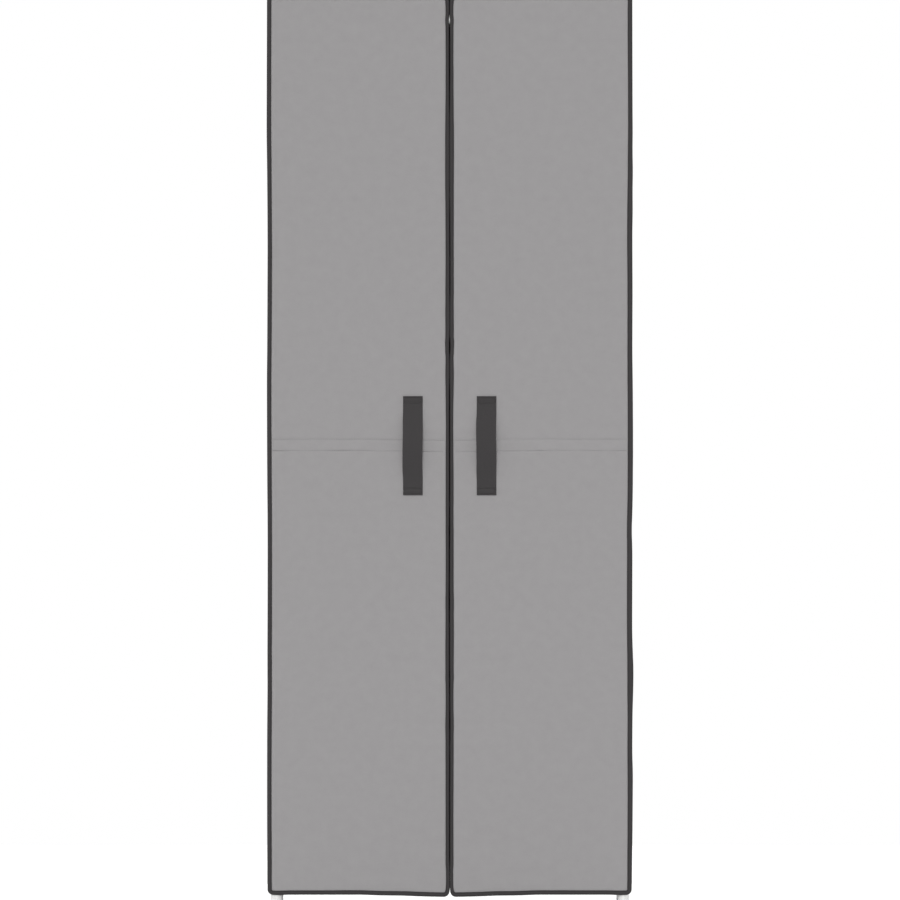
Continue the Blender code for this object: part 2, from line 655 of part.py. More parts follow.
def main():
    for obj in list(bpy.data.objects):
        bpy.data.objects.remove(obj)
    cloth = finish("grey_fabric", (0.328, 0.319, 0.323), 0.9)
    trim = finish("dark_binding", (0.055, 0.051, 0.053), 0.85)
    paint = finish("white_powder_coat", (0.80, 0.80, 0.79), 0.45)
    plastic = finish("white_plastic", (0.76, 0.76, 0.75), 0.5)
    fibreboard = finish("fibreboard", (0.34, 0.24, 0.15), 0.8)
    metal = finish("magnet_nickel", (0.60, 0.58, 0.55), 0.3, 1.0)
    root = bpy.data.objects.new("cabinet", None)
    bpy.context.scene.collection.objects.link(root)
    build_frame(root, paint, plastic)
    build_shelves(root, cloth, fibreboard)
    build_cover(root, cloth, trim, fibreboard)
    build_doors(cloth, trim, fibreboard, metal)


main()
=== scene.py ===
# The look of the fabric shoe cabinet, built round its CAD frame.
# Metres, +Z up, the doors face -Y, the origin is on the floor under the middle of the cabinet.

import math

import bmesh
import bpy
import numpy as np
from mathutils import Matrix, Vector


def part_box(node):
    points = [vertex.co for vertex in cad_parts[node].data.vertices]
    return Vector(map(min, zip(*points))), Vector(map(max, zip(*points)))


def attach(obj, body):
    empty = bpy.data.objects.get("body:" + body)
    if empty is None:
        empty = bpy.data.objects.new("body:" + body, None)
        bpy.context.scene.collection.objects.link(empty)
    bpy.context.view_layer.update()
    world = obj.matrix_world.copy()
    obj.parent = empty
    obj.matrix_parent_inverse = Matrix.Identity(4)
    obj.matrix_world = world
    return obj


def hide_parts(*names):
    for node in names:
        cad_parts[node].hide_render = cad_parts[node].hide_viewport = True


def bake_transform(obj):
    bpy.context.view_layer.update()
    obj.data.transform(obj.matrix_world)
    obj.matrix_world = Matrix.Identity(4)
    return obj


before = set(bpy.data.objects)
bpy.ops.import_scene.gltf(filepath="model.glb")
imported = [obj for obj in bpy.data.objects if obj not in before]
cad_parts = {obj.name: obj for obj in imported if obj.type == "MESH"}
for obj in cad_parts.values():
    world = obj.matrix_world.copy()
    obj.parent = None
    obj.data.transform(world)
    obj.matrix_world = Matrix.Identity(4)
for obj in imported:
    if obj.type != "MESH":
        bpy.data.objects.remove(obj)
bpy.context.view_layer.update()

MM = 0.001
SIDES = {"left": 1, "right": -1}

# Doors, as the CAD has them: u runs from the hinge edge to the free edge, v from the lower edge up
BINDING_LOW, BINDING_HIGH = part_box("left_door_binding")
DOOR_WIDTH = BINDING_HIGH.x - BINDING_LOW.x
DOOR_HEIGHT = BINDING_HIGH.z - BINDING_LOW.z
DOOR_FOOT = BINDING_LOW.z
HINGE_X = -BINDING_LOW.x
DOOR_MID = (BINDING_LOW.y + BINDING_HIGH.y) / 2
HINGE_Y = BINDING_HIGH.y
DOOR_GAP = -2 * BINDING_HIGH.x
CORNER = 9 * MM  # outer radius of the door's corners
TAPE_WIDTH = 7 * MM
PANEL_HALF = 2.4 * MM  # half the door's thickness where the board is
FLANGE_HALF = 0.9 * MM  # and where there are only its two layers of cloth
SEAMS = (0.7308, 0.7492)  # the two stitched lines across the middle, up from the lower edge


def centre(name):
    """The middle of a CAD node's box."""
    low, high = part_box(name)
    return tuple((a + b) / 2 for a, b in zip(low, high))


def smooth(t):
    """0 below 0, 1 above 1, with an easy start and end."""
    t = np.clip(t, 0, 1)
    return t * t * (3 - 2 * t)


def bump(x, middle, width):
    """A soft hill of height 1."""
    return np.exp(-(((x - middle) / width) ** 2))


def waves(x, y, seed, count=9, longest=0.6, shortest=0.08):
    """Smooth irregular relief from about -1 to 1, the same on each run."""
    random = np.random.default_rng(seed)
    total = np.zeros(np.broadcast(x, y).shape)
    weight = 0.0
    for i in range(count):
        length = longest * (shortest / longest) ** (i / max(1, count - 1))
        angle, phase = random.uniform(0, math.tau, 2)
        share = (length / longest) ** 0.6
        total += share * np.sin(math.tau / length * (x * math.cos(angle) + y * math.sin(angle)) + phase)
        weight += share * share
    return total / math.sqrt(weight) / 1.6


def points_of(*parts):
    """Points with these coordinates, each an array or a number."""
    return np.stack(np.broadcast_arrays(*parts), -1)


def ripple(along, *more):
    """Such relief along one line."""
    return waves(along, along * 0, *more)


# Camera and light

GLOW, FRONT_GLOW = 0.26, 0.40  # the surround's light from all round, and what the front and the rear add
FLOOR_GLOW = 0.36  # what brings the floor up to white where it is seen
SEEN = 1.4813  # height of the doors' plane that the picture takes in
LOOK_X, LOOK_Z = 0.0002, 0.7716  # its middle
LAMPS = [  # azimuth, elevation, share of the light and width, in degrees but for the share
    (-5, 15, 0.43, 26), (180, 15, 0.38, 26), (-90, 30, 0.27, 50), (90, 30, 0.24, 50), (0, 86, 0.08, 60),
]


def shown(name, data):
    """A new object in the scene."""
    made = bpy.data.objects.new(name, data)
    bpy.context.scene.collection.objects.link(made)
    return made


def add_camera():
    """Square on to the doors from far away, as the photo is, with the same part of the cabinet in view."""
    data = bpy.data.cameras.new("camera")
    data.sensor_width = 36
    data.lens = 1200
    data.clip_start, data.clip_end = 1, 100
    camera = shown("camera", data)
    camera.location = (LOOK_X, DOOR_MID - PANEL_HALF - data.lens * SEEN / data.sensor_width, LOOK_Z)
    camera.rotation_euler = (math.radians(90), 0, 0)
    bpy.context.scene.camera = camera


def node(tree, kind, props=None, **inputs):
    """A new node. Its inputs are values or the outputs of other nodes; i0, i1 name them by number."""
    made = tree.nodes.new(kind)
    for key, value in (props or {}).items():
        setattr(made, key, value)
    for key, value in inputs.items():
        numbered = key[0] == "i" and key[1:].isdigit()
        socket = made.inputs[int(key[1:])] if numbered else made.inputs[key.replace("_", " ")]
        if isinstance(value, bpy.types.NodeSocket):
            tree.links.new(value, socket)
        else:
            socket.default_value = value
    return made


def maths(tree, operation, *terms):
    """The output of a Math node."""
    inputs = {f"i{i}": term for i, term in enumerate(terms)}
    return node(tree, "ShaderNodeMath", {"operation": operation}, **inputs).outputs[0]


def seen_directly(tree):
    """1 for what the camera sees, straight on or in gloss or through glass, and 0 for light on the scene."""
    path = node(tree, "ShaderNodeLightPath").outputs
    gloss = maths(tree, "MAXIMUM", path["Is Glossy Ray"], path["Is Transmission Ray"])
    return maths(tree, "MAXIMUM", path["Is Camera Ray"], gloss)


def add_light():
    """A soft surround, strongest from the front and the rear, and wide lamps for the sides and the top."""
    world = bpy.data.worlds.new("studio")
    bpy.context.scene.world = world
    world.use_nodes = True
    tree = world.node_tree
    tree.nodes.clear()
    way = node(tree, "ShaderNodeTexCoord").outputs["Generated"]
    facing = node(tree, "ShaderNodeSeparateXYZ", Vector=way).outputs["Y"]
    square = maths(tree, "MULTIPLY", facing, facing)
    strength = maths(tree, "MULTIPLY_ADD", maths(tree, "MULTIPLY", square, square), FRONT_GLOW, GLOW)
    lit = node(tree, "ShaderNodeBackground", Color=(1, 1, 1, 1), Strength=strength)
    plain = node(tree, "ShaderNodeBackground", Color=(1, 1, 1, 1), Strength=1.0)
    mixed = node(tree, "ShaderNodeMixShader", i0=seen_directly(tree), i1=lit.outputs[0], i2=plain.outputs[0])
    node(tree, "ShaderNodeOutputWorld", Surface=mixed.outputs[0])
    for number, (azimuth, elevation, share, wide) in enumerate(LAMPS):
        data = bpy.data.lights.new(f"lamp_{number}", "SUN")
        data.energy = share * math.pi
        data.angle = math.radians(wide)
        lamp = shown(f"lamp_{number}", data)
        a, e = math.radians(azimuth), math.radians(elevation)
        back = Vector((math.sin(a) * math.cos(e), -math.cos(a) * math.cos(e), math.sin(e)))
        lamp.rotation_mode = "QUATERNION"
        lamp.rotation_quaternion = back.to_track_quat("Z", "Y")


def add_floor():
    """A plain pale floor that shows white and keeps the cabinet's shadow."""
    bm = bmesh.new()
    bmesh.ops.create_circle(bm, cap_ends=True, segments=96, radius=9.0)
    mesh = bpy.data.meshes.new("floor")
    bm.to_mesh(mesh)
    bm.free()
    plain = {"Base_Color": (0.80, 0.80, 0.80, 1), "Emission_Color": (1, 1, 1, 1), "Specular_IOR_Level": 0.2}
    made, tree, shader = shader_of("pale_floor", 0.9, **plain)
    glow = maths(tree, "MULTIPLY", seen_directly(tree), FLOOR_GLOW)
    tree.links.new(glow, shader.inputs["Emission Strength"])
    mesh.materials.append(made)
    shown("floor", mesh)


# Materials


def shader_of(name, roughness, **plain):
    """A new material, its node tree and its shader, with the given plain values."""
    made = bpy.data.materials.new(name)
    made.use_nodes = True
    shader = made.node_tree.nodes["Principled BSDF"]
    shader.inputs["Roughness"].default_value = roughness
    for key, value in plain.items():
        shader.inputs[key.replace("_", " ")].default_value = value
    return made, made.node_tree, shader


def lay_of(tree):
    """The two places along a piece's own cloth, in metres, that each of its points carries."""
    stored = node(tree, "ShaderNodeAttribute", {"attribute_name": "lay"}).outputs["Vector"]
    split = node(tree, "ShaderNodeSeparateXYZ", Vector=stored)
    return stored, split.outputs["X"], split.outputs["Y"]


def noise(tree, place, scale, detail, distortion=0.0):
    made = node(tree, "ShaderNodeTexNoise", Vector=place, Scale=scale, Detail=detail, Distortion=distortion)
    return made.outputs["Fac"]


def stretched(tree, place, x, y, z=1.0):
    """The place with its axes scaled, for threads and grain that run one way."""
    return node(tree, "ShaderNodeVectorMath", {"operation": "MULTIPLY"}, i0=place, i1=(x, y, z)).outputs[0]


def ridge(tree, along, pitch):
    """A cosine from 0 to 1 that repeats each pitch."""
    turned_to = maths(tree, "MULTIPLY_ADD", along, math.tau / pitch, 0.0)
    return maths(tree, "MULTIPLY_ADD", maths(tree, "COSINE", turned_to), 0.5, 0.5)


def blend_of(tree, first, second, share):
    """A mix of two values, with that share of the first."""
    return maths(tree, "MULTIPLY_ADD", first, share, maths(tree, "MULTIPLY", second, 1 - share))


def tone(tree, shader, colour, change, low, high):
    """The colour, made darker or lighter as the change goes from 0 to 1."""
    spread = node(tree, "ShaderNodeMapRange", Value=change, i1=0.0, i2=1.0, i3=low, i4=high)
    scaled = node(tree, "ShaderNodeVectorMath", {"operation": "SCALE"}, i0=colour, Scale=spread.outputs[0])
    tree.links.new(scaled.outputs[0], shader.inputs["Base Color"])


def relief(tree, shader, height, depth, strength):
    """A bump of that depth in mm, from a height of 0 to 1."""
    made = node(tree, "ShaderNodeBump", Height=height, Distance=depth * MM, Strength=strength)
    tree.links.new(made.outputs[0], shader.inputs["Normal"])


def cloth_material(name, colour):
    """Nonwoven fabric: matted fibres, pressed together at rows of small staggered points."""
    made, tree, shader = shader_of(name, 0.92, Sheen_Weight=0.08, Sheen_Roughness=0.6, Specular_IOR_Level=0.2)
    place, u, v = lay_of(tree)
    columns = maths(tree, "COSINE", maths(tree, "MULTIPLY", u, math.tau / (1.9 * MM)))
    rows = maths(tree, "COSINE", maths(tree, "MULTIPLY", v, math.tau / (1.9 * MM)))
    lattice = maths(tree, "MULTIPLY", columns, rows)
    pit = node(tree, "ShaderNodeMapRange", {"interpolation_type": "SMOOTHSTEP"}, Value=lattice, i1=0.45, i2=0.85)
    fibres = noise(tree, stretched(tree, place, 1.0, 0.35), 1500, 3.0, 1.2)
    crossing = noise(tree, stretched(tree, place, 0.35, 1.0), 1300, 3.0, 1.2)
    matted = blend_of(tree, crossing, fibres, 0.5)
    mottled = blend_of(tree, noise(tree, place, 60, 3.0), matted, 0.35)
    tone(tree, shader, colour, maths(tree, "MULTIPLY_ADD", pit.outputs[0], -0.18, mottled), 0.87, 1.16)
    relief(tree, shader, maths(tree, "MULTIPLY_ADD", pit.outputs[0], -0.8, matted), 0.16, 0.7)
    return made


def tape_material(name, colour, rib, thread):
    """Woven tape: ribs across its length, crossed by finer threads, both in mm."""
    made, tree, shader = shader_of(name, 0.88, Sheen_Weight=0.03, Sheen_Roughness=0.5, Specular_IOR_Level=0.15)
    place, along, across = lay_of(tree)
    wobble = maths(tree, "MULTIPLY_ADD", noise(tree, place, 700, 1.0), 0.25 * MM, along)
    ribs, threads = ridge(tree, wobble, rib * MM), ridge(tree, across, thread * MM)
    fuzz = noise(tree, stretched(tree, place, 0.5, 1.0), 2200, 2.0)
    woven = blend_of(tree, threads, ribs, 0.35)
    tone(tree, shader, colour, blend_of(tree, fuzz, woven, 0.4), 0.72, 1.28)
    relief(tree, shader, maths(tree, "MULTIPLY_ADD", fuzz, 0.25, woven), 0.14, 0.8)
    return made


def fibreboard_material(name, colour):
    """Raw fibreboard: pressed brown fibres in flakes and specks."""
    made, tree, shader = shader_of(name, 0.82, Specular_IOR_Level=0.2)
    place = node(tree, "ShaderNodeTexCoord").outputs["Object"]
    hairs = noise(tree, stretched(tree, place, 1.0, 1.0, 6.0), 380, 3.0, 1.0)
    mixed = blend_of(tree, hairs, noise(tree, place, 240, 4.0, 0.8), 0.5)
    tone(tree, shader, colour, mixed, 0.55, 1.45)
    relief(tree, shader, mixed, 0.08, 0.6)
    return made


def hard_material(name, colour, roughness, mottle, low, high, grain, depth, strength, **plain):
    """Paint, plastic or metal. Mottle changes its colour and grain its relief, each a noise's scale and detail."""
    made, tree, shader = shader_of(name, roughness, **plain)
    place = node(tree, "ShaderNodeTexCoord").outputs["Object"]
    tone(tree, shader, colour, noise(tree, place, *mottle), low, high)
    relief(tree, shader, noise(tree, place, *grain), depth, strength)
    return made


CLOTH = cloth_material("grey_fabric", (0.328, 0.319, 0.323))
TAPE = tape_material("dark_tape", (0.049, 0.046, 0.047), 1.1, 0.55)
WEBBING = tape_material("dark_webbing", (0.054, 0.051, 0.052), 0.75, 0.41)
DARK_THREAD = tape_material("dark_thread", (0.045, 0.042, 0.043), 0.5, 0.25)
GREY_THREAD = tape_material("grey_thread", (0.27, 0.262, 0.266), 0.5, 0.25)
FIBREBOARD = fibreboard_material("fibreboard", (0.34, 0.24, 0.15))
PAINT = hard_material(
    "white_powder_coat", (0.85, 0.85, 0.84), 0.36, (60, 3.0), 0.97, 1.03, (420, 2.0), 0.05, 0.5,
    Specular_IOR_Level=0.6,
)
PLASTIC = hard_material(
    "white_plastic", (0.80, 0.80, 0.79), 0.5, (90, 2.0), 0.96, 1.04, (1800, 2.0), 0.03, 0.6,
    Specular_IOR_Level=0.4,
)
NICKEL = hard_material(
    "magnet_nickel", (0.60, 0.58, 0.55), 0.3, (500, 3.0), 0.88, 1.1, (500, 3.0), 0.01, 0.4, Metallic=1.0,
)


# Meshes


def quads(rows, columns, start=0, flip=False, around=False):
    """Faces of a grid of points numbered row by row; around joins its last column to its first."""
    i = np.arange(rows - 1)[:, None]
    j = np.arange(columns if around else columns - 1)[None, :]
    k = (j + 1) % columns
    faces = points_of(i * columns + j, i * columns + k, (i + 1) * columns + k, (i + 1) * columns + j)
    faces = faces.reshape(-1, 4) + start
    return (faces[:, ::-1] if flip else faces).tolist()


def smoothed(mesh, angle):
    """The mesh, shaded smooth but for edges sharper than that angle."""
    mesh.shade_smooth()
    mesh.set_sharp_from_angle(angle=math.radians(angle))
    return mesh


def filled(mesh, bm, material, smooth_angle):
    """The mesh with what the bmesh holds, its faces turned outwards."""
    bmesh.ops.recalc_face_normals(bm, faces=bm.faces)
    bm.to_mesh(mesh)
    bm.free()
    mesh.materials.append(material)
    return smoothed(mesh, smooth_angle)


def mesh_from(name, points, faces, lay, material, smooth_angle=40):
    """A mesh of those points and faces. Lay holds each point's place along the cloth."""
    mesh = bpy.data.meshes.new(name)
    mesh.from_pydata(np.reshape(points, (-1, 3)).tolist(), [], faces)
    flat = np.zeros((len(mesh.vertices), 3), np.float32)
    flat[:, :2] = np.reshape(lay, (-1, 2))
    mesh.attributes.new("lay", "FLOAT_VECTOR", "POINT").data.foreach_set("vector", flat.ravel())
    bm = bmesh.new()
    bm.from_mesh(mesh)
    return filled(mesh, bm, material, smooth_angle)


def piece(name, mesh, body, replaces=()):
    """Shows a mesh as a piece of the cabinet, on that body, in place of those CAD nodes."""
    made = shown(name, mesh)
    if body:
        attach(made, body)
    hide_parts(*replaces)
    return made


def skin(rings, loop=False):
    """Faces over rings of points, shaped (rings, points round, 3), with flat ends unless it is a loop."""
    count, around = rings.shape[:2]
    last = (count - 1) * around
    faces = quads(count, around, around=True)
    if loop:
        return faces + [[last + j, last + (j + 1) % around, (j + 1) % around, j] for j in range(around)]
    return faces + [list(range(around)), list(range(last, last + around))]


def run_of(points):
    """How far along a line of points each of them is."""
    return np.concatenate([[0], np.cumsum(np.linalg.norm(np.diff(points, axis=0), axis=1))])


def quilt(name, front, back, lay, material=None, smooth_angle=40):
    """A closed pad between two grids of points, shaped (rows, columns, 3), with the lay of one or of both."""
    rows, columns = front.shape[:2]
    half = rows * columns
    faces = quads(rows, columns) + quads(rows, columns, half, True)
    border = list(range(columns)) + [r * columns + columns - 1 for r in range(1, rows)]
    border += [(rows - 1) * columns + c for c in range(columns - 2, -1, -1)]
    border += [r * columns for r in range(rows - 2, 0, -1)]
    for a, b in zip(border, border[1:] + border[:1]):
        faces.append([b, a, a + half, b + half])
    both = np.broadcast_to(lay, (2, rows, columns, 2))
    return mesh_from(name, np.stack([front, back]), faces, both, material or CLOTH, smooth_angle)


def stitch_run(path, out, pitch=3.4, length=2.5, radius=0.27):
    """Threads laid end to end along a path of points, each one a short arc that dips at its ends.

    Out is the direction away from the cloth at each point of the path. The sizes are in mm.
    """
    pitch, length, radius = pitch * MM, length * MM, radius * MM
    out = np.broadcast_to(np.asarray(out, float), path.shape)
    along = run_of(path)
    count = max(1, int(along[-1] // pitch))
    middles = (np.arange(count) + 0.5) * along[-1] / count

    def at(values, where):
        return np.stack([np.interp(where, along, values[:, k]) for k in range(3)], -1)

    rise = np.array([-0.5, 0.35, 0.75, 0.35, -0.5]) * radius
    swell = np.array([0.25, 0.9, 1.0, 0.9, 0.25]) * radius
    run = at(path, middles + length / 2) - at(path, middles - length / 2)
    run /= np.linalg.norm(run, axis=1, keepdims=True)
    away = at(out, middles)
    away -= (away * run).sum(1, keepdims=True) * run
    away /= np.linalg.norm(away, axis=1, keepdims=True)
    side = np.cross(run, away)
    points = np.zeros((count, 5, 6, 3))
    for i, share in enumerate((-0.5, -0.36, 0.0, 0.36, 0.5)):
        middle = at(path, middles + share * length) + away * rise[i]
        for j, angle in enumerate(math.tau * np.arange(6) / 6):
            points[:, i, j] = middle + (away * math.cos(angle) + side * math.sin(angle)) * swell[i]
    return points


def stitching(name, runs, material, body):
    """One piece with all the threads of several runs."""
    threads = np.concatenate(runs)
    one, size = skin(threads[0]), threads[0][..., 0].size
    faces = [[size * number + i for i in face] for number in range(len(threads)) for face in one]
    points = threads.reshape(-1, 3)
    lay = points_of(points[:, 2] + points[:, 0], points[:, 1])
    piece(name, mesh_from(name, points, faces, lay, material, 70), body)


# Doors. Each table goes by mm up from the lower edge, but SAG by thousandths of the way across.

LEFT_EDGE = {  # how far the door's hinge edge lies inside the straight line, in mm
    40: -0.16, 110: -0.46, 170: -0.54, 270: -0.40, 335: 0.2, 400: 0.03, 470: 0.3, 570: 0.48, 630: 0.23,
    665: -0.16, 730: -0.54, 830: -0.84, 860: -0.77, 895: -0.35, 990: 0.08, 1060: 0.33, 1125: 0.1,
    1190: -0.44, 1255: -1.3, 1320: -1.12, 1455: -0.74,
}
RIGHT_EDGE = {
    40: 0.66, 105: -0.3, 170: -0.76, 200: -0.95, 235: 0.16, 300: -0.36, 335: -1.45, 370: -2.0, 400: -0.7,
    435: 0.31, 565: -0.12, 600: 1.1, 630: -0.12, 665: -0.79, 730: -1.2, 765: -1.15, 830: -0.82, 895: 0.0,
    990: -0.38, 1090: 0.0, 1125: -0.67, 1160: -0.4, 1190: -0.95, 1225: -0.31, 1255: -0.67, 1290: -0.38,
    1455: 0.0,
}
SLIT = {  # the gap between the closed doors, in mm
    0: 1.8, 8: 1.8, 11.5: 0.05, 45: 0.05, 52: 1.3, 262: 1.3, 277: 1.9, 294: 1.9, 307: 1.2, 352: 1.3, 360: 2.0,
    367: 1.2, 432: 1.2, 467: 1.3, 477: 2.0, 492: 2.0, 502: 1.3, 582: 1.5, 602: 2.1, 617: 1.3, 662: 1.5,
    822: 1.4, 847: 0.9, 862: 0.3, 887: 0.3, 893: 2.0, 912: 2.2, 920: 0.3, 977: 0.3, 992: 1.2, 1112: 1.2,
    1142: 0.5, 1162: 0.25, 1272: 0.25, 1292: 0.9, 1362: 1.7, 1425: 1.6, 1431: 1.2, 1433.5: 2.15, 1444: 2.15,
    1446.5: 0.8, 1480: 1.2,
}
LEFT_FREE_TAPE = {  # width of the tape on the free edge as a share of its cut
    0: 0.89, 110: 0.88, 140: 0.86, 270: 0.93, 335: 0.87, 370: 0.91, 435: 0.84, 480: 0.77, 600: 0.75,
    635: 0.84, 730: 0.84, 780: 0.765, 830: 0.83, 862: 1.0, 895: 0.91, 930: 1.03, 965: 1.06, 1000: 0.96,
    1060: 0.91, 1120: 0.91, 1160: 1.01, 1260: 1.01, 1300: 0.88, 1360: 0.80, 1420: 0.81, 1480: 0.84,
}
RIGHT_FREE_TAPE = {
    0: 0.79, 140: 0.77, 240: 0.82, 335: 0.76, 370: 0.85, 435: 0.97, 470: 0.975, 530: 0.89, 565: 0.89,
    600: 0.83, 700: 0.80, 760: 0.745, 800: 0.765, 830: 0.86, 862: 0.99, 895: 0.83, 928: 0.97, 960: 0.90,
    1000: 0.82, 1060: 0.81, 1126: 0.915, 1160: 1.0, 1220: 1.045, 1257: 1.04, 1290: 0.92, 1323: 0.86,
    1370: 0.78, 1400: 0.79, 1430: 0.87, 1480: 0.88,
}
RIGHT_HINGE_TAPE = {  # how much wider the tape lies on the right door's hinge edge
    0: 0.04, 300: 0.05, 330: 0.15, 620: 0.16, 660: 0.06, 700: 0.03, 950: 0.05, 1000: 0.09, 1060: 0.12,
    1130: 0.10, 1160: 0.01, 1260: -0.08, 1330: -0.08, 1370: -0.03, 1480: -0.02,
}
SAG = {  # how far down the lower edge hangs as a share of the most
    15: 0.0, 45: 0.2, 75: 0.2, 110: 0.02, 530: 0.02, 585: 0.22, 630: 0.36, 700: 0.40, 760: 0.48, 810: 0.68,
    850: 0.80, 900: 0.90, 950: 0.98, 1000: 1.0,
}
TAPE_FRONT = [  # in from the door's edge and out from its middle plane, in mm
    (4.2, 0.96), (5.2, 0.97), (6.0, 1.30), (6.7, 1.57), (6.97, 1.72), (7.0, 2.0), (6.86, 2.22), (6.5, 2.36),
    (6.15, 2.27), (5.88, 2.03), (5.62, 1.90), (5.36, 1.98), (5.05, 2.18), (4.5, 2.36), (3.8, 2.46),
    (3.1, 2.46), (2.4, 2.36), (1.75, 2.14), (1.15, 1.82), (0.65, 1.38), (0.28, 0.90), (0.06, 0.44), (0.0, 0.0),
]
STITCH_IN, STITCH_OUT = 5.62 * MM, 1.90 * MM  # the groove of its thread, in from the edge and out from the plane
EDGE = np.array([4.0, 4.6, 5.2, 5.8, 6.4, 7.0, 7.6, 8.2, 8.8, 9.4, 10.0, 10.8, 11.8, 13.2, 15.0, 17.5, 21.0]) * MM
SEAM_ROWS = np.array([0.15, 0.4, 0.65, 0.95, 1.3, 1.8, 2.4, 3.2, 4.3]) * MM
MOUTH_ROWS = np.array([0.25, 0.55, 0.9, 1.4, 2.2]) * MM


def along_table(table, x, ease):
    """The table's value at x, with its corners rounded over that length."""
    places, values = np.array(list(table)) * MM, list(table.values())
    return np.mean([np.interp(x + shift * ease, places, values) for shift in (-1, -0.5, 0, 0.5, 1)], axis=0)


def outer_wave(side, v):
    """How far the hinge edge of a door lies inside the straight line, up the door."""
    return MM * along_table(LEFT_EDGE if side > 0 else RIGHT_EDGE, v, 0.012)


def free_wave(side, v):
    """How far the free edge of a door lies beyond the straight line, towards the other door."""
    z = v + 0.04
    meander = 0.3 * np.sin(z * 7.1 + 0.6) + 0.2 * np.sin(z * 17.3 + 2.0) - 0.4 - 0.3 * bump(v, 1.44, 0.025)
    return (DOOR_GAP - along_table(SLIT, v, 0.003) * MM) / 2 + side * meander * MM


def sag(u, v):
    """How far the cloth hangs below its cut, most at the free edge's lower corner."""
    droop = 3.6 * MM * along_table(SAG, u / DOOR_WIDTH, 0.03) * np.clip(1 - v / DOOR_HEIGHT, 0, 1) ** 0.8
    return droop + 0.35 * MM * smooth((60 * MM - v) / (60 * MM))


def tape_share(side, u, v):
    """How wide the tape lies as a share of its cut: narrower along the free edge, where it gets pulled.

    On the right door's hinge edge the tape is wider wherever that edge stands out.
    """
    upright = smooth(v / (18 * MM)) * smooth((DOOR_HEIGHT - v) / (18 * MM))
    free = upright * smooth((u - DOOR_WIDTH + 30 * MM) / (14 * MM))
    share = 1 - free * (1 - along_table(LEFT_FREE_TAPE if side > 0 else RIGHT_FREE_TAPE, v, 0.008))
    share = share + 0.05 * smooth((26 * MM - v) / (14 * MM))
    if side < 0:
        wider = 0.05 - 0.7 * outer_wave(side, v) / TAPE_WIDTH + along_table(RIGHT_HINGE_TAPE, v, 0.008)
        share = share + upright * smooth((30 * MM - u) / (14 * MM)) * wider
    return share


def on_door(side, u, v, y):
    """Points of the scene for places on a door."""
    share = u / DOOR_WIDTH
    held = np.clip(v, 0, DOOR_HEIGHT)
    shifted = u + outer_wave(side, held) * (1 - share) + free_wave(side, held) * share
    return points_of(side * (shifted - HINGE_X), y, DOOR_FOOT + v - sag(u, held))


def edge_distance(u, v, width, height, corner):
    """Distance in from a rectangle with round corners."""
    a = np.minimum(u, width - u)
    b = np.minimum(v, height - v)
    round_in = corner - np.hypot(np.maximum(corner - a, 0), np.maximum(corner - b, 0))
    return np.where((a < corner) | (b < corner), round_in, np.minimum(a, b))


def door_grid():
    """Places across and up a door, close together at its edges, its seams and its board pockets' mouths."""
    low, high = SEAMS
    mouths = (low - 9 * MM, high + 9 * MM)
    fine = [seam + sign * SEAM_ROWS for seam in SEAMS for sign in (-1, 1)]
    fine += [mouth + sign * MOUTH_ROWS for mouth in mouths for sign in (-1, 1)]
    fine = np.sort(np.concatenate([*fine, mouths, np.linspace(low + 6 * MM, high - 6 * MM, 4)]))
    below = np.arange(25 * MM, low - 14 * MM, 5 * MM)
    above = np.arange(high + 14 * MM, DOOR_HEIGHT - 24 * MM, 5 * MM)
    us = np.concatenate([EDGE, np.linspace(25 * MM, DOOR_WIDTH - 25 * MM, 90), DOOR_WIDTH - EDGE[::-1]])
    return us, np.concatenate([EDGE, below, fine, above, DOOR_HEIGHT - EDGE[::-1]]), mouths


def seed_of(side):
    """The seed of a door panel's relief."""
    return 3 if side > 0 else 11


def seam_line(side, u):
    """How the lower seam across the middle wanders, and how deep it is pulled in, across the door."""
    wander = 0.35 * MM * ripple(u, seed_of(side) + 5, 6, 0.2, 0.03)
    uneven = np.clip(0.62 + 0.55 * ripple(u, seed_of(side) + 3, 8, 0.11, 0.022), 0.18, 1.25)
    return wander, uneven


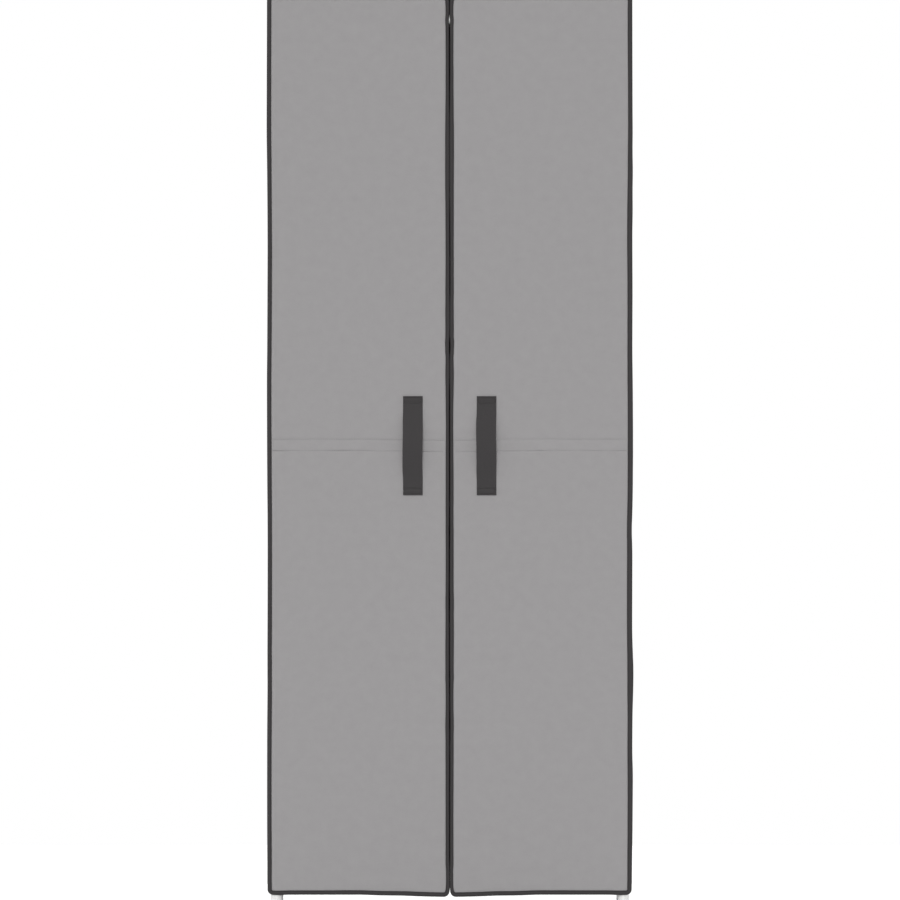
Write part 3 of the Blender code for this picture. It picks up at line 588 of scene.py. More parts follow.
def add_door_panel(door, side):
    """Two layers of cloth over a board above the middle and one below, sewn through across the middle."""
    us, vs, mouths = door_grid()
    u, v = np.meshgrid(us, vs)
    low, high = SEAMS
    seed = seed_of(side)
    inside = edge_distance(u, v, DOOR_WIDTH, DOOR_HEIGHT, 13 * MM)
    rise = np.clip((inside - TAPE_WIDTH * tape_share(side, u, v) + 1.8 * MM) / (7 * MM), 0, 1)
    board = 1 - (1 - rise) ** 2.2
    lift = FLANGE_HALF + (PANEL_HALF - FLANGE_HALF) * board
    pucker = 0.10 * MM * waves(u * 0.3, v, seed + 1, 7, 0.10, 0.022) * bump(inside, 10.5 * MM, 9 * MM) * board
    swell = 0.22 * MM * waves(u, v, seed + 2, 9, 0.7, 0.12) * smooth((inside - 12 * MM) / (40 * MM))
    band = 0.25 * MM * smooth((v - low) / (2 * MM)) * smooth((high - v) / (2 * MM))
    near = 0.10 * MM * waves(u, v * 2, seed + 4, 7, 0.06, 0.015) * (bump(v, low, 9 * MM) + bump(v, high, 9 * MM))
    wander, uneven = seam_line(side, u)
    upper = 0.74 * bump(v, high + wander * 0.4, 1.7 * MM) + 0.12 * bump(v, high, 3.6 * MM)
    lower = uneven * (1.08 * bump(v, low + wander, 0.8 * MM) + 0.28 * bump(v, low, 2.6 * MM))
    sewn = lift - (upper + lower) * MM * board - band * board
    loose = pucker + near * board + swell
    front, back = sewn + loose, sewn + loose * 0.5
    for mouth, way in zip(mouths, (-1, 1)):
        slot = bump(v, mouth - way * 0.35 * MM, 0.4 * MM) * smooth((inside - 11.3 * MM) / (1.5 * MM))
        back = back - 0.55 * MM * slot
    back = np.minimum(back, HINGE_Y - DOOR_MID - 0.02 * MM)
    layers = [on_door(side, u, v, DOOR_MID + y) for y in (-front, back)]
    mesh = quilt(f"{door}_panel", *layers, points_of(u, v))
    made = piece(f"{door}_panel", mesh, door, [f"{door}_fabric"])


def outline(width, height, radius, step=3 * MM, turns=12):
    """Points round a rectangle with round corners and the inward direction at each, both in the plane."""
    points, inward = [], []
    right, top = width - radius, height - radius
    corners = [(right, top), (radius, top), (radius, radius), (right, radius)]
    for number, corner in enumerate(corners):
        for i in range(turns + 1):
            a = math.radians(90 * number + 90 * i / turns)
            way = np.array([math.cos(a), math.sin(a)])
            points.append(corner + radius * way)
            inward.append(-way)
        begin, end = points[-1], corners[(number + 1) % 4] + radius * way
        count = max(1, round(math.dist(begin, end) / step))
        points += [begin + (end - begin) * i / count for i in range(1, count)]
        inward += [-way] * (count - 1)
    return np.array(points), np.array(inward)


def tape_swell(side, points):
    """How much wider the tape lies than its cut, along the edge of the door."""
    uneven = 1 + 0.030 * ripple(run_of(points), 21 + side, 9, 0.35, 0.03)
    return (uneven * tape_share(side, points[:, 0], points[:, 1]))[:, None]


def add_door_tape(door, side):
    """A folded tape sewn round the whole edge of a door."""
    points, inward = outline(DOOR_WIDTH, DOOR_HEIGHT, CORNER)
    section = TAPE_FRONT + [(d, -t) for d, t in TAPE_FRONT[-2::-1]] + [(1.35, -0.93), (1.35, 0.93)]
    section = np.array(section) * MM
    along = run_of(points)[:, None]
    crumple = 0.07 * MM * ripple(along, 31 + side, 9, 0.08, 0.012)
    d, t = section[:, 0] * tape_swell(side, points), section[:, 1]
    t = t - np.sign(t) * np.abs(crumple) * (np.abs(t) > 1.6 * MM)
    u, v = (points[:, k, None] + inward[:, k, None] * d for k in (0, 1))
    rings = on_door(side, u, v, DOOR_MID - t)
    lay = points_of(along, np.arange(1, len(section) + 1) * 0.6 * MM)
    mesh = mesh_from(f"{door}_edge_tape", rings, skin(rings, True), lay, TAPE)
    piece(f"{door}_edge_tape", mesh, door, [f"{door}_binding"])


def add_door_stitching(door, side):
    """The thread along the tape, front and back, and the grey thread across the middle."""
    points, inward = outline(DOOR_WIDTH, DOOR_HEIGHT, CORNER)
    points, inward = np.vstack([points, points[:1]]), np.vstack([inward, inward[:1]])
    place = points + inward * STITCH_IN * tape_swell(side, points)
    runs = []
    for sign in (-1, 1):
        path = on_door(side, place[:, 0], place[:, 1], DOOR_MID + sign * (STITCH_OUT - 0.02 * MM))
        runs.append(stitch_run(path, (0, sign, 0)))
    stitching(f"{door}_edge_stitching", runs, DARK_THREAD, door)

    us = np.linspace(10 * MM, DOOR_WIDTH - 10 * MM, 160)
    wander, uneven = seam_line(side, us)
    runs = []
    for seam, shift, sunk in ((SEAMS[0], wander, uneven * 1.2), (SEAMS[1], wander * 0.4, 0.86)):
        for sign in (-1, 1):
            path = on_door(side, us, seam + shift, DOOR_MID + sign * (PANEL_HALF - (sunk + 0.12) * MM))
            runs.append(stitch_run(path, (0, sign, 0), 3.0, 2.2, 0.24))
    stitching(f"{door}_seam_stitching", runs, GREY_THREAD, door)


STRAP_LOW, STRAP_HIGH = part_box("left_door_handle")
STRAP_WIDTH, STRAP_LENGTH = STRAP_HIGH.x - STRAP_LOW.x, STRAP_HIGH.z - STRAP_LOW.z
STRAP_U = (STRAP_LOW.x + STRAP_HIGH.x) / 2 + HINGE_X
STRAP_Z = (STRAP_LOW.z + STRAP_HIGH.z) / 2
STRAP_BACK = STRAP_HIGH.y
STRAP_THICK = 2.4 * MM
STRAP_TAB = 14 * MM
STRAP_BOW = 0.65 * (STRAP_HIGH.y - STRAP_LOW.y - STRAP_THICK)
STRAP_ROWS = (2.6 * MM, 11.5 * MM)  # rows of thread across each sewn end, in from it


def strap_lift(w):
    """How far the back of the strap stands off the door, along its length."""
    share = np.clip(1 - np.abs(w) / (STRAP_LENGTH / 2 - STRAP_TAB), 0, 1)
    return STRAP_BOW * (1 - np.cos(math.pi * share)) / 2


def strap_thickness(w):
    """The strap is folded under at each sewn end, so it is thicker there."""
    end = STRAP_LENGTH / 2 - np.abs(w)
    return STRAP_THICK * (0.80 + 0.20 * smooth((8.5 * MM - end) / (1.6 * MM)))


def rounding(inset):
    """The height of a rim rounded over 1 mm, as a share of the full height."""
    return np.sqrt(np.clip(1 - (1 - np.minimum(inset, MM) / MM) ** 2, 0, 1))


def add_strap(door, side):
    """Woven webbing, sewn down at both ends and bowed out between them."""
    warp, weft = STRAP_WIDTH / 20, 1.5 * MM
    x = np.linspace(-STRAP_WIDTH / 2, STRAP_WIDTH / 2, 81)
    w = np.linspace(-STRAP_LENGTH / 2, STRAP_LENGTH / 2, 297)
    a, b = np.meshgrid(x, w)
    edge, tip = STRAP_WIDTH / 2 - np.abs(a), STRAP_LENGTH / 2 - np.abs(b)
    strand = (a + STRAP_WIDTH / 2) / warp
    rib = np.abs(np.sin(math.pi * strand)) ** 0.7
    weave = 0.13 * MM * np.cos(math.pi * (b / weft + np.floor(strand))) * rib + 0.05 * MM * rib
    sewn = sum(bump(tip, row, 0.8 * MM) for row in STRAP_ROWS)
    rail = bump(edge, 2.4 * MM, 0.7 * MM) * smooth((12.2 * MM - tip) / (0.8 * MM))
    pressed = 0.45 * MM * np.clip(sewn + rail, 0, 1)
    rounded = 0.18 + 0.82 * rounding(edge) * rounding(tip + 0.1 * MM)
    curl = 0.5 * MM * (a / (STRAP_WIDTH / 2)) ** 2 * smooth(strap_lift(b) / (4 * MM))
    half = strap_thickness(b) / 2
    middle = STRAP_BACK - strap_lift(b) - half + curl
    front = middle - (half - 0.2 * MM + weave - pressed) * rounded
    back = middle + (half - 0.02 * MM) * rounded
    # the strap's ends are sewn to the door, so they go with its cloth, and the rest with them
    held = on_door(side, STRAP_U, STRAP_Z - DOOR_FOOT, 0.0)

    def placed(across, y, up):
        """Points of the strap, from places across and along it."""
        return points_of(held[0] + side * across, y, held[2] + up)

    loose = smooth(strap_lift(b) / (3 * MM))
    across = a * (0.975 + 0.015 * loose) + (0.3 * np.sin(b * 60) - 0.5 * side) * MM * loose
    layers = [placed(across, y, b) for y in (front, back)]
    mesh = quilt(f"{door}_strap", *layers, points_of(b, a), WEBBING, 60)
    piece(f"{door}_strap", mesh, door, [f"{door}_handle"])

    def thread(across, up, pitch, length):
        y = STRAP_BACK - strap_thickness(up) + 0.42 * MM
        return stitch_run(placed(across, y, up), (0, -1, 0), pitch, length, 0.32)

    reach = 0.97 * STRAP_WIDTH / 2 - 2.33 * MM
    rows = [sign * (STRAP_LENGTH / 2 - inset) for sign in (-1, 1) for inset in STRAP_ROWS]
    runs = [thread(np.linspace(-reach, reach, 20), row, 3.1, 2.4) for row in rows]
    ends = STRAP_LENGTH / 2 - np.linspace(STRAP_ROWS[1], STRAP_ROWS[0], 8)
    runs += [thread(edge_sign * reach, ends * sign, 3.0, 2.3) for sign in (-1, 1) for edge_sign in (-1, 1)]
    stitching(f"{door}_strap_stitching", runs, DARK_THREAD, door)


HINGE_START = (298 * MM, -140 * MM)  # on the cover's side: the place that the tape's section is measured from
HINGE_OUTER = [  # out across the side, then round onto the door's edge, in mm
    (0.32, 3.95), (0.62, 3.80), (0.80, 3.3), (0.85, 2.4), (0.85, 0.0), (0.85, -3.0), (0.85, -5.6),
    (0.93, -6.6), (1.18, -7.3), (1.58, -7.85), (1.95, -8.25), (2.18, -8.6), (2.30, -9.05), (2.33, -9.6),
    (2.34, -10.4), (2.33, -11.2), (2.24, -11.8),
]
HINGE_INNER = [
    (2.08, -11.75), (2.05, -11.2), (2.04, -10.4), (2.04, -9.6), (2.02, -9.1), (1.90, -8.75), (1.62, -8.4),
    (1.25, -8.05), (0.85, -7.65), (0.45, -7.1), (0.18, -6.4), (0.08, -5.6), (0.08, -3.0), (0.08, 0.0),
    (0.08, 2.4), (0.10, 3.6),
]
ONTO_DOOR = -147 * MM  # how far forward the tape has left the cover's side for the door's edge
THREAD_DEPTHS = (-138.0 * MM, -141.8 * MM)  # its two rows, behind the edge of a door that stands open


def add_hinge_strip(name, side):
    """The tape that each door hangs by: sewn to the cover's side, and round onto the edge of the door."""
    low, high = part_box(f"hinge_tape_{name}")
    section = np.array(HINGE_OUTER + HINGE_INNER) * MM
    z = np.append(np.arange(low.z, high.z, 5 * MM)[:-1], high.z)[:, None]
    y = HINGE_START[1] + section[:, 1]
    on_edge = smooth((ONTO_DOOR - y) / (1.5 * MM))
    crumple = np.abs(0.10 * MM * ripple(z, 41 + side, 8, 0.09, 0.02) * (1 - on_edge))
    x = HINGE_START[0] + section[:, 0] - outer_wave(side, z - DOOR_FOOT) * on_edge
    x = x + crumple * (section[:, 0] > 0.5 * MM)
    rings = points_of(-side * x, y, z)
    mesh = mesh_from(f"{name}_hinge_strip", rings, skin(rings), points_of(z, run_of(section)), TAPE)
    made = piece(f"{name}_hinge_strip", mesh, None, [f"hinge_tape_{name}"])
    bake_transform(made)
    z = np.arange(low.z + 2 * MM, high.z - 2 * MM, 5 * MM)
    x = -side * (HINGE_START[0] + 0.87 * MM)
    runs = [stitch_run(points_of(x, depth, z), (-side, 0, 0)) for depth in THREAD_DEPTHS]
    stitching(f"{name}_hinge_stitching", runs, DARK_THREAD, "root")


def paint_node(name, material):
    """Gives a CAD node that stays its finished material."""
    kept = bpy.data.objects[name].data.materials
    kept.clear()
    kept.append(material)


def add_doors():
    for name, side in SIDES.items():
        door = f"{name}_door"
        add_door_panel(door, side)
        add_door_tape(door, side)
        add_door_stitching(door, side)
        add_strap(door, side)
        add_hinge_strip(name, side)
        for half in ("lower", "upper"):
            paint_node(f"{door}_board_{half}", FIBREBOARD)
            paint_node(f"{door}_magnet_{half}", NICKEL)


# Cover


def sheet_places(first, last, step):
    """Even places between two ends, finer close to them."""
    inner = np.linspace(first + 14 * MM, last - 14 * MM, max(2, round((last - first - 28 * MM) / step)))
    ends = np.array([0, 0.7, 1.6, 2.8, 4.4, 6.6, 9.6]) * MM
    return np.concatenate([first + ends, inner, last - ends[::-1]])


def sheet_grid(first, last, foot, top, step):
    """A hanging sheet's grid, and each point's way in from the nearer upright edge, as a share, and level edge."""
    along, z = np.meshgrid(sheet_places(first, last, step), sheet_places(foot, top, 6 * MM))
    across = np.minimum(along - first, last - along) / (last - first)
    return along, z, across, np.minimum(z - foot, top - z)


def slack(along, z, seed, first, last, top):
    """The folds of cloth that hangs a little loose, in mm: upright, level, slanting and fanned from its corners."""
    folds = 2.6 * waves(along, z * 0.14, seed, 10, 0.34, 0.05) + 1.3 * waves(along * 0.3, z, seed + 10, 9, 0.42, 0.06)
    folds += 1.0 * waves(along + z * 0.5, z - along * 0.4, seed + 5, 8, 0.2, 0.045)
    for number, near in enumerate((first, last)):
        reach = np.hypot(along - near, z - top)
        turn = np.arctan2(top - z, np.abs(along - near))
        fan = waves(turn * 0.30, reach * 0.05, seed + 20 + number, 8, 0.30, 0.05)
        folds += 1.6 * fan * np.exp(-reach / 0.22) * smooth(reach / 0.05)
    for number, (lean, size) in enumerate(((0.25, 2.6), (-0.45, 2.0))):
        line = waves(along + z * lean, z * 0.3 - along * lean, seed + 40 + number, 8, 0.30, 0.07)
        here = smooth(0.35 + 0.9 * waves(along, z, seed + 50 + number, 5, 0.5, 0.15))
        folds += size * (1 - np.minimum(np.abs(line) * 2.6, 1)) ** 2 * here
    return folds - 0.8


def creases(z, reach):
    """The lines that the cover was folded along when it was packed."""
    return (0.5 * bump(z, 0.780, 2.2 * MM) - 0.35 * bump(z, 0.412, 2.4 * MM) - 0.35 * bump(z, 1.148, 2.4 * MM)) * reach


def gathers(along, up, seed):
    """Small puckers where the cloth is sewn into its piping and hem."""
    return 0.22 * ripple(along, seed, 9, 0.07, 0.014) * np.exp(-up / 0.035) * smooth(up / (4 * MM))


def kept_between(values, floor, ceiling):
    """The values, eased off at a floor and at a ceiling."""
    raised = floor + 0.45 * np.log1p(np.exp((values - floor) / 0.45))
    return ceiling - 0.45 * np.log1p(np.exp((ceiling - raised) / 0.45))


def hang(name, cad, layers, along, z):
    """Shows a sheet of the cover in place of its CAD node."""
    mesh = quilt(name, *layers, points_of(along, z))
    made = piece(name, mesh, "root", [cad])


def add_side_cloth(name, side):
    """A side of the cover, slack enough to ripple a little inwards between its edges."""
    cad = f"cover_{name}_side"
    low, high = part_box(cad)
    y, z, across, up = sheet_grid(low.y, high.y, low.z, high.z, 6 * MM)
    free = smooth((across - 0.07) / 0.16) * smooth(up / 0.07)
    folds = (slack(y, z, 51 + side, low.y, high.y, high.z) - 1.6) * free
    folds = folds + creases(z, smooth(across / 0.08)) + gathers(y, up, 71 + side)
    x = abs(low.x + high.x) / 2 + kept_between(folds, -0.9 - 4.6 * free, 1.2) * MM
    half = (high.x - low.x) / 2
    layers = [points_of(-side * (x + way * half), y, z) for way in (1, -1)]
    hang(f"{name}_side_cloth", cad, layers, y, z)


def add_back_cloth():
    """The back of the cover, which bellies out a little."""
    low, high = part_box("cover_back")
    x, z, across, up = sheet_grid(low.x, high.x, low.z, high.z, 8 * MM)
    free = smooth((across - 0.03) / 0.12) * smooth(up / 0.08)
    folds = (1.2 * slack(x, z, 81, low.x, high.x, high.z) + 1.6) * free
    folds = folds + creases(z, smooth(across / 0.05)) + 0.35 * bump(x, 0, 2.0 * MM) * smooth(up / 0.03)
    y = (low.y + high.y) / 2 + kept_between(folds + gathers(x, up, 83), -1.1, 6.5) * MM
    half = (high.y - low.y) / 2
    layers = [points_of(x, y + way * half, z) for way in (1, -1)]
    hang("back_cloth", "cover_back", layers, x, z)


def pocket_piece(name, cad, board, seam, crown, seed, corner):
    """A flat pocket with a board in it, soft at its sewn edges and open at the rear."""
    low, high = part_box(cad)
    board_low, board_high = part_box(board)
    width, depth, half = high.x - low.x, high.y - low.y, (high.z - low.z) / 2
    rim, step = 12 * MM, 9 * MM
    edge = np.array([0, 0.25, 0.6, 1.1, 1.8, 2.6, 3.4, 4.2, 5.2, 6.6, 8.6]) * MM
    inner = np.linspace(rim, width - rim, round((width - 2 * rim) / step))
    us = np.concatenate([edge, inner, width - edge[::-1]])
    vs = np.concatenate([edge, np.linspace(rim, depth, round((depth - rim) / step))])
    u, v = np.meshgrid(us, vs)
    inside = edge_distance(u, np.minimum(v, depth / 2), width, depth * 4, corner)
    body = np.sqrt(np.clip(1 - (1 - np.clip(inside / seam, 0, 1)) ** 2, 0, 1))
    full = 0.32 * half + 0.68 * half * body - 0.02 * MM
    drape = crown * MM * waves(u, v, seed, 8, 0.5, 0.07) * smooth(inside / 0.05)
    pucker = 0.12 * MM * ripple(u + v, seed + 1, 8, 0.06, 0.014) * bump(inside, 5 * MM, 6 * MM) * body
    upper, lower = full + np.minimum(drape + pucker, 0.0), full + np.minimum(pucker, 0.0)
    middle = (low.z + high.z) / 2
    pull = 0.75 * np.maximum(0, -inside)  # draws the outermost points in at the plan's round corners
    x, y = low.x + u + np.sign(width / 2 - u) * pull, low.y + v + pull
    down = upper[len(vs) // 2, len(us) // 2] - upper  # how far the cloth drops towards its edges
    lay = [points_of(u, v - down), points_of(u, down - v - 2 * half)]
    mesh = quilt(name, *(points_of(x, y, z) for z in (middle + upper, middle - lower)), lay)
    gap = 0.25 * MM
    cavity = bmesh.new()
    bmesh.ops.create_cube(cavity, size=1)
    lo = Vector((board_low.x - gap, board_low.y - gap, board_low.z - gap))
    hi = Vector((board_high.x + gap, high.y + 5 * MM, board_high.z + gap))
    bmesh.ops.transform(cavity, matrix=Matrix.Diagonal((*(hi - lo), 1)), verts=cavity.verts)
    bmesh.ops.translate(cavity, vec=(lo + hi) / 2, verts=cavity.verts)
    made = piece(name, carved(mesh, [], [cavity], 40), "root", [cad])
    paint_node(board, FIBREBOARD)


def helper(shape):
    """An object that exists only to cut or join another, from a mesh or a bmesh."""
    mesh = shape
    if isinstance(shape, bmesh.types.BMesh):
        bmesh.ops.recalc_face_normals(shape, faces=shape.faces)
        mesh = bpy.data.meshes.new("helper")
        shape.to_mesh(mesh)
        shape.free()
    return shown("helper", mesh)


def carved(base, joined, cut, smooth_angle=35):
    """The base with some solids joined to it and then others cut from it, as one mesh."""
    body = helper(base)
    tools = [(helper(bm), "UNION") for bm in joined] + [(helper(bm), "DIFFERENCE") for bm in cut]
    for tool, operation in tools:
        modifier = body.modifiers.new(operation.lower(), "BOOLEAN")
        modifier.object = tool
        modifier.operation = operation
        modifier.solver = "EXACT"
    graph = bpy.context.evaluated_depsgraph_get()
    mesh = bpy.data.meshes.new_from_object(body.evaluated_get(graph))
    for made in [body] + [tool for tool, _ in tools]:
        bpy.data.objects.remove(made)
    return smoothed(mesh, smooth_angle)


def cord_section(radius):
    a = math.tau * np.arange(18) / 18
    return points_of(radius * 0.97 * np.cos(a), radius * 0.97 * np.sin(a))


def sweep(name, cad, path, across, up, section, loop=False):
    """A cord or tape: carries a section of (across, up) points along a path, with those directions at each point."""
    across, up = (np.broadcast_to(way, path.shape)[:, None] for way in (across, up))
    rings = path[:, None] + across * section[:, :1] + up * section[:, 1:]
    along = run_of(rings.mean(axis=1))[:, None]
    steps = np.linalg.norm(np.roll(rings, -1, axis=1) - rings, axis=2)
    round_it = np.concatenate([np.zeros((len(rings), 1)), np.cumsum(steps, axis=1)[:, :-1]], axis=1)
    mesh = mesh_from(name, rings, skin(rings, loop), points_of(along, round_it), TAPE, 50)
    piece(name, mesh, "root", [cad])


def add_piping():
    """Round cord in a folded tape: round the top, and down both rear corners."""
    low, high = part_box("top_piping")
    radius = (high.z - low.z) / 2
    points, inward = outline(high.x - low.x, high.y - low.y, 6 * MM, 5 * MM, 10)
    uneven = 0.10 * MM * ripple(run_of(points), 91, 8, 0.3, 0.03) - 0.1 * MM
    path = points_of(*(points + inward * radius).T, uneven) + (low.x, low.y, centre("top_piping")[2])
    sweep("top_cord", "top_piping", path, points_of(*inward.T, 0), (0, 0, 1), cord_section(radius), True)
    for name, side in SIDES.items():
        cad = f"rear_piping_{name}"
        low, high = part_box(cad)
        z = np.append(np.arange(low.z, high.z - 4 * MM, 5 * MM), high.z)
        x, y, _ = centre(cad)
        path = points_of(x + 0.12 * MM * ripple(z, 95 + side, 8, 0.25, 0.03), y, z)
        section = cord_section((high.x - low.x) / 2)
        sweep(f"rear_cord_{name}", cad, path, (1, 0, 0), (0, 1, 0), section)


HEM_HALF = [  # out from the cloth and up from the tape's lower edge, in mm
    (0.80, 10.0), (1.15, 10.0), (1.55, 9.75), (1.70, 9.3), (1.62, 8.7), (1.52, 8.4), (1.62, 8.1),
    (1.82, 7.2), (1.92, 5.4), (1.93, 3.4), (1.88, 1.9), (1.6, 0.85), (1.05, 0.2), (0.4, 0.02),
]
HEM_STITCH = (1.53 * MM, 8.4 * MM)  # its thread: out from the cloth and up


def add_hem():
    """Tape folded over the cover's lower edge: left side, back and right side."""
    low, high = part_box("hem_binding")
    side_mid, back_mid = centre("cover_right_side")[0], centre("cover_back")[1]
    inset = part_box("cover_back")[1].x
    corner = side_mid - inset
    rear = back_mid - corner
    y = np.arange(low.y, rear, 4 * MM)
    a = np.radians(9 * np.arange(11))
    turn = points_of(np.cos(a), np.sin(a), 0)
    half = np.vstack([points_of(side_mid, y, low.z), corner * turn + (inset, rear, low.z)])
    half_out = np.vstack([points_of(1, y * 0, 0), turn])
    x = np.linspace(inset, -inset, 140)[1:-1]
    path = np.vstack([half, points_of(x, back_mid, low.z), half[::-1] * (-1, 1, 1)])
    outward = np.vstack([half_out, points_of(x * 0, 1, 0), half_out[::-1] * (-1, 1, 1)])
    section = HEM_HALF + [(-d, t) for d, t in HEM_HALF[::-1]] + [(-0.78, 1.15), (0.78, 1.15)]
    up = (0, 0, (high.z - low.z) / (10 * MM))
    sweep("hem_tape", "hem_binding", path, outward, up, np.array(section) * MM)
    runs = []
    for sign in (-1, 1):
        thread = path + outward * sign * HEM_STITCH[0] + (0, 0, HEM_STITCH[1])
        runs.append(stitch_run(thread[1:-1], outward[1:-1] * sign))
    stitching("hem_stitching", runs, DARK_THREAD, "root")


# Frame, with its section sizes in mm


FACET_TURN = 0.37  # turns each rod by this share of a facet: edges that cross exactly would spoil the joins


def rod(radius, start, end, sides):
    """A solid rod between two points."""
    start, end = Vector(start), Vector(end)
    run = end - start
    bm = bmesh.new()
    radius = radius * MM
    bmesh.ops.create_cone(bm, cap_ends=True, segments=sides, radius1=radius, radius2=radius, depth=run.length)
    turn = Vector((0, 0, 1)).rotation_difference(run.normalized()).to_matrix().to_4x4()
    return set_at(bm, (start + end) / 2, turn @ Matrix.Rotation(FACET_TURN * math.tau / sides, 4, "Z"))


def lathe(profile, sides=48, closed=False, ribs=None):
    """A profile of (radius, height) points spun about Z; ribs changes the radius by angle and height."""
    bm = bmesh.new()
    rings = []
    for radius, z in ((radius * MM, height * MM) for radius, height in profile):
        ring = []
        for angle in math.tau * np.arange(sides if radius else 1) / sides:
            r = radius + (ribs(radius, angle, z) if ribs else 0)
            ring.append(bm.verts.new((r * math.cos(angle), r * math.sin(angle), z)))
        rings.append(ring if radius else ring * sides)
    for a, b in zip(rings, rings[1:] + (rings[:1] if closed else [])):
        for i in range(sides):
            corners = dict.fromkeys((a[i - 1], a[i], b[i], b[i - 1]))
            bm.faces.new(list(corners))
    bmesh.ops.recalc_face_normals(bm, faces=bm.faces)
    return bm


def set_at(bm, place, turn=Matrix.Identity(4)):
    """The bmesh, turned and moved."""
    bmesh.ops.transform(bm, matrix=Matrix.Translation(place) @ turn, verts=bm.verts)
    return bm


UPRIGHT_X, UPRIGHT_FRONT, _ = centre("foot_cap_front_right")
UPRIGHT_REAR = centre("foot_cap_rear_right")[1]
TOP_RAIL, BOTTOM_RAIL = centre("rail_top_front")[2], centre("rail_bottom_front")[2]
SHELVES = 7
PITCH = (TOP_RAIL - BOTTOM_RAIL) / SHELVES
TUBE_R, BORE_R, RUNG_R, STUB_R, RAIL_R, RAIL_BORE = 9.5, 8.3, 4.0, 6.7, 8.0, 7.0
STUB_REACH = 30 * MM  # how far a stub reaches into its rail
WELD = [(0, 8.55), (5.5, 8.55), (5.35, 9.5), (4.95, 10.1), (4.45, 10.7), (4.12, 11.3), (3.9, 11.4), (0, 11.4)]
FOOT = [
    (0, 0.0), (7.5, 0.0), (8.0, 0.45), (8.5, 0.0), (10.4, 0.0), (11.1, 0.2), (11.5, 0.65), (11.6, 1.3),
    (11.6, 3.0), (11.6, 3.6), (11.6, 5.5), (11.6, 8.0), (11.6, 11.0), (11.6, 14.0), (11.6, 16.4), (11.6, 17.0),
    (11.6, 18.9), (11.45, 19.6), (11.0, 20.0), (10.1, 20.0), (9.8, 19.6), (9.8, 4.0), (0, 4.0),
]
SLEEVE_BORE = 5.0
SLEEVE = [(7.0, 36.8), (7.9, 35.6), (8.0, 34), (8.0, 1.5), (9.1, 1.5), (9.45, 1.1), (9.5, 0.6)]
PLUG_TOP = 2.8
PLUG = [
    (0, -12), (6.8, -12), (7.9, -10.8), (8.0, -10), (8.0, 0.3), (9.2, 0.3), (9.5, 0.7), (9.5, 1.7), (9.3, 2.3),
    (8.8, 2.65), (7.5, PLUG_TOP), (4.0, PLUG_TOP), (0, PLUG_TOP),
]


def pipe_profile(half, bore):
    """A pipe's profile for the lathe, from the outside of its upper half, which the lower half mirrors."""
    tip = half[0][1]
    return [(radius, -height) for radius, height in half] + half[::-1] + [(bore, tip), (bore, -tip)]


def add_side_frame(name, side, half):
    """Half of a welded side ladder: two tubes, its rungs with their weld beads, and a stub for each rail."""
    cad = f"side_frame_{name}_{half}"
    low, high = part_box(cad)
    x, places = -side * UPRIGHT_X, (UPRIGHT_FRONT, UPRIGHT_REAR)
    first, stub = (0, BOTTOM_RAIL) if half == "lower" else (4, TOP_RAIL)
    tubes = [rod(TUBE_R, (x, y, low.z), (x, y, high.z), 40) for y in places]
    joined = tubes[1:]
    for number in range(first, first + 4):
        z = BOTTOM_RAIL + PITCH * number
        joined.append(rod(RUNG_R, (x, places[0], z), (x, places[1], z), 24))
        for y, way in zip(places, (-1, 1)):
            joined.append(set_at(lathe(WELD, 24), (x, y, z), Matrix.Rotation(way * math.radians(90), 4, "X")))
    reach = side * ((TUBE_R + 0.3) * MM + STUB_REACH)
    joined += [rod(STUB_R, (x, y, stub), (x + reach, y, stub), 32) for y in places]
    over = 5 * MM
    bores = [rod(BORE_R, (x, y, low.z - over), (x, y, high.z + over), 40) for y in places]
    mesh = carved(tubes[0], joined, bores)
    mesh.materials.clear()
    mesh.materials.append(PAINT)
    piece(f"{name}_ladder_{half}", mesh, "root", [cad])


def foot_ribs(radius, angle, z):
    """Fine upright flutes round the foot, away from its rims."""
    if radius < 11.3 * MM or not 3.4 * MM < z < 16.6 * MM:
        return 0.0
    return -0.35 * MM * (0.5 + 0.5 * math.cos(angle * 24)) ** 2


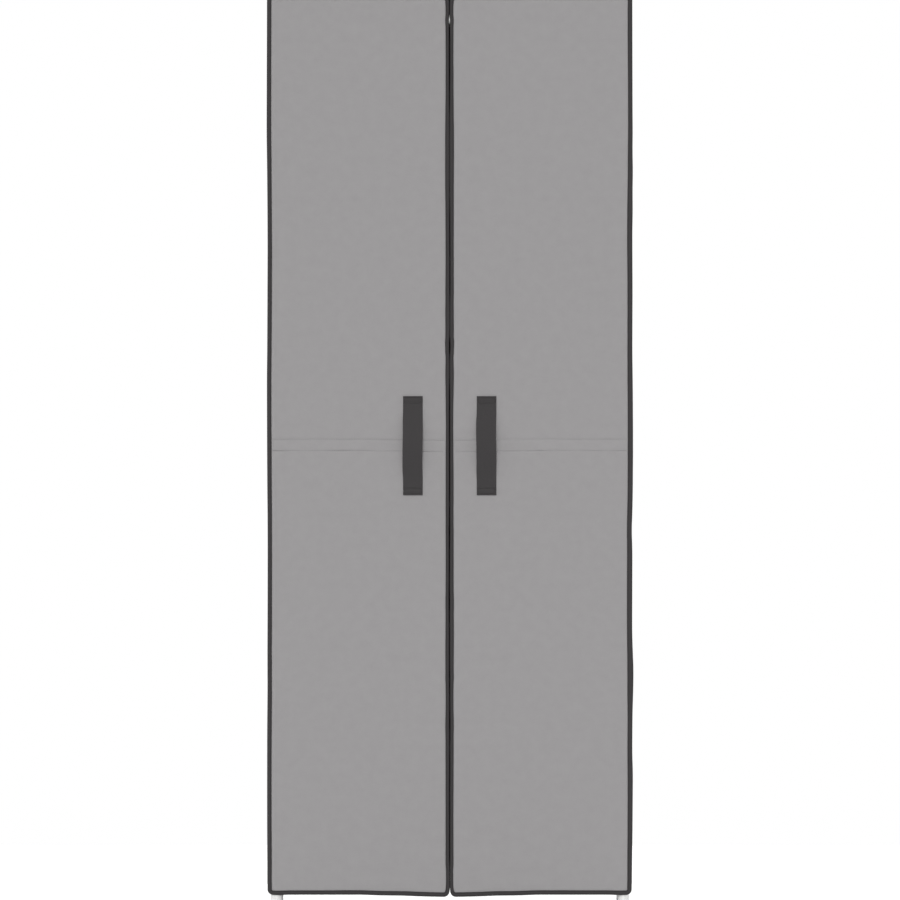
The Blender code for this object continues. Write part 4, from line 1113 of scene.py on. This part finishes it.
def add_frame():
    for name, side in SIDES.items():
        for half in ("lower", "upper"):
            add_side_frame(name, side, half)
    for level in ("bottom", "top"):
        for row in ("front", "rear"):
            cad = f"rail_{level}_{row}"
            low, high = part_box(cad)
            half = (high.x - low.x) / 2 / MM
            rim = [(RAIL_R - 0.35, half), (RAIL_R - 0.1, half - 0.1), (RAIL_R, half - 0.35)]
            bm = lathe(pipe_profile(rim, RAIL_BORE), 40, True)
            set_at(bm, centre(cad), Matrix.Rotation(math.radians(90), 4, "Y"))
            mesh = filled(bpy.data.meshes.new(cad), bm, PAINT, 35)
            piece(f"cross_rail_{level}_{row}", mesh, "root", [cad])
    for name in SIDES:
        for row in ("front", "rear"):
            corner = f"{row}_{name}"
            for kind, cad, bm in (
                ("foot", f"foot_cap_{corner}", lathe(FOOT, 96, ribs=foot_ribs)),
                ("sleeve", f"upright_joiner_{corner}", lathe(pipe_profile(SLEEVE, SLEEVE_BORE), closed=True)),
                ("plug", f"upright_cap_{corner}", lathe(PLUG)),
            ):
                low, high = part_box(cad)
                x, y, middle = centre(cad)
                base = {"foot": low.z, "sleeve": middle, "plug": high.z - PLUG_TOP * MM}[kind]
                mesh = filled(bpy.data.meshes.new(cad), set_at(bm, (x, y, base)), PLASTIC, 35)
                piece(f"{kind}_{corner}", mesh, "root", [cad])


def add_shelves():
    """The shelves' pockets, each with a row of thread along its front edge, above and below."""
    inset, seam = 2.2 * MM, 4.0 * MM
    for number in range(1, SHELVES + 1):
        cad = f"shelf_{number}"
        pocket_piece(f"shelf_pocket_{number}", cad, f"shelf_board_{number}", seam, 0.5, 100 + number * 3, 6 * MM)
        low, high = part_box(cad)
        x = np.linspace(low.x + 6 * MM, high.x - 6 * MM, 60)
        half = (high.z - low.z) / 2
        lift = 0.32 * half + 0.68 * half * math.sqrt(1 - (1 - inset / seam) ** 2)
        runs = []
        for sign in (-1, 1):
            path = points_of(x, low.y + inset, centre(cad)[2] + sign * lift)
            runs.append(stitch_run(path, (0, -0.3, sign), 3.6, 2.6, 0.27))
        stitching(f"shelf_stitching_{number}", runs, GREY_THREAD, "root")


bpy.context.scene.view_settings.view_transform = "Standard"
add_camera()
add_light()
add_floor()
add_doors()
add_piping()
add_hem()
for name, side in SIDES.items():
    add_side_cloth(name, side)
add_back_cloth()
pocket_piece("top_panel", "cover_top", "top_board", 3.2 * MM, 0.8, 300, 3 * MM)
add_shelves()
add_frame()
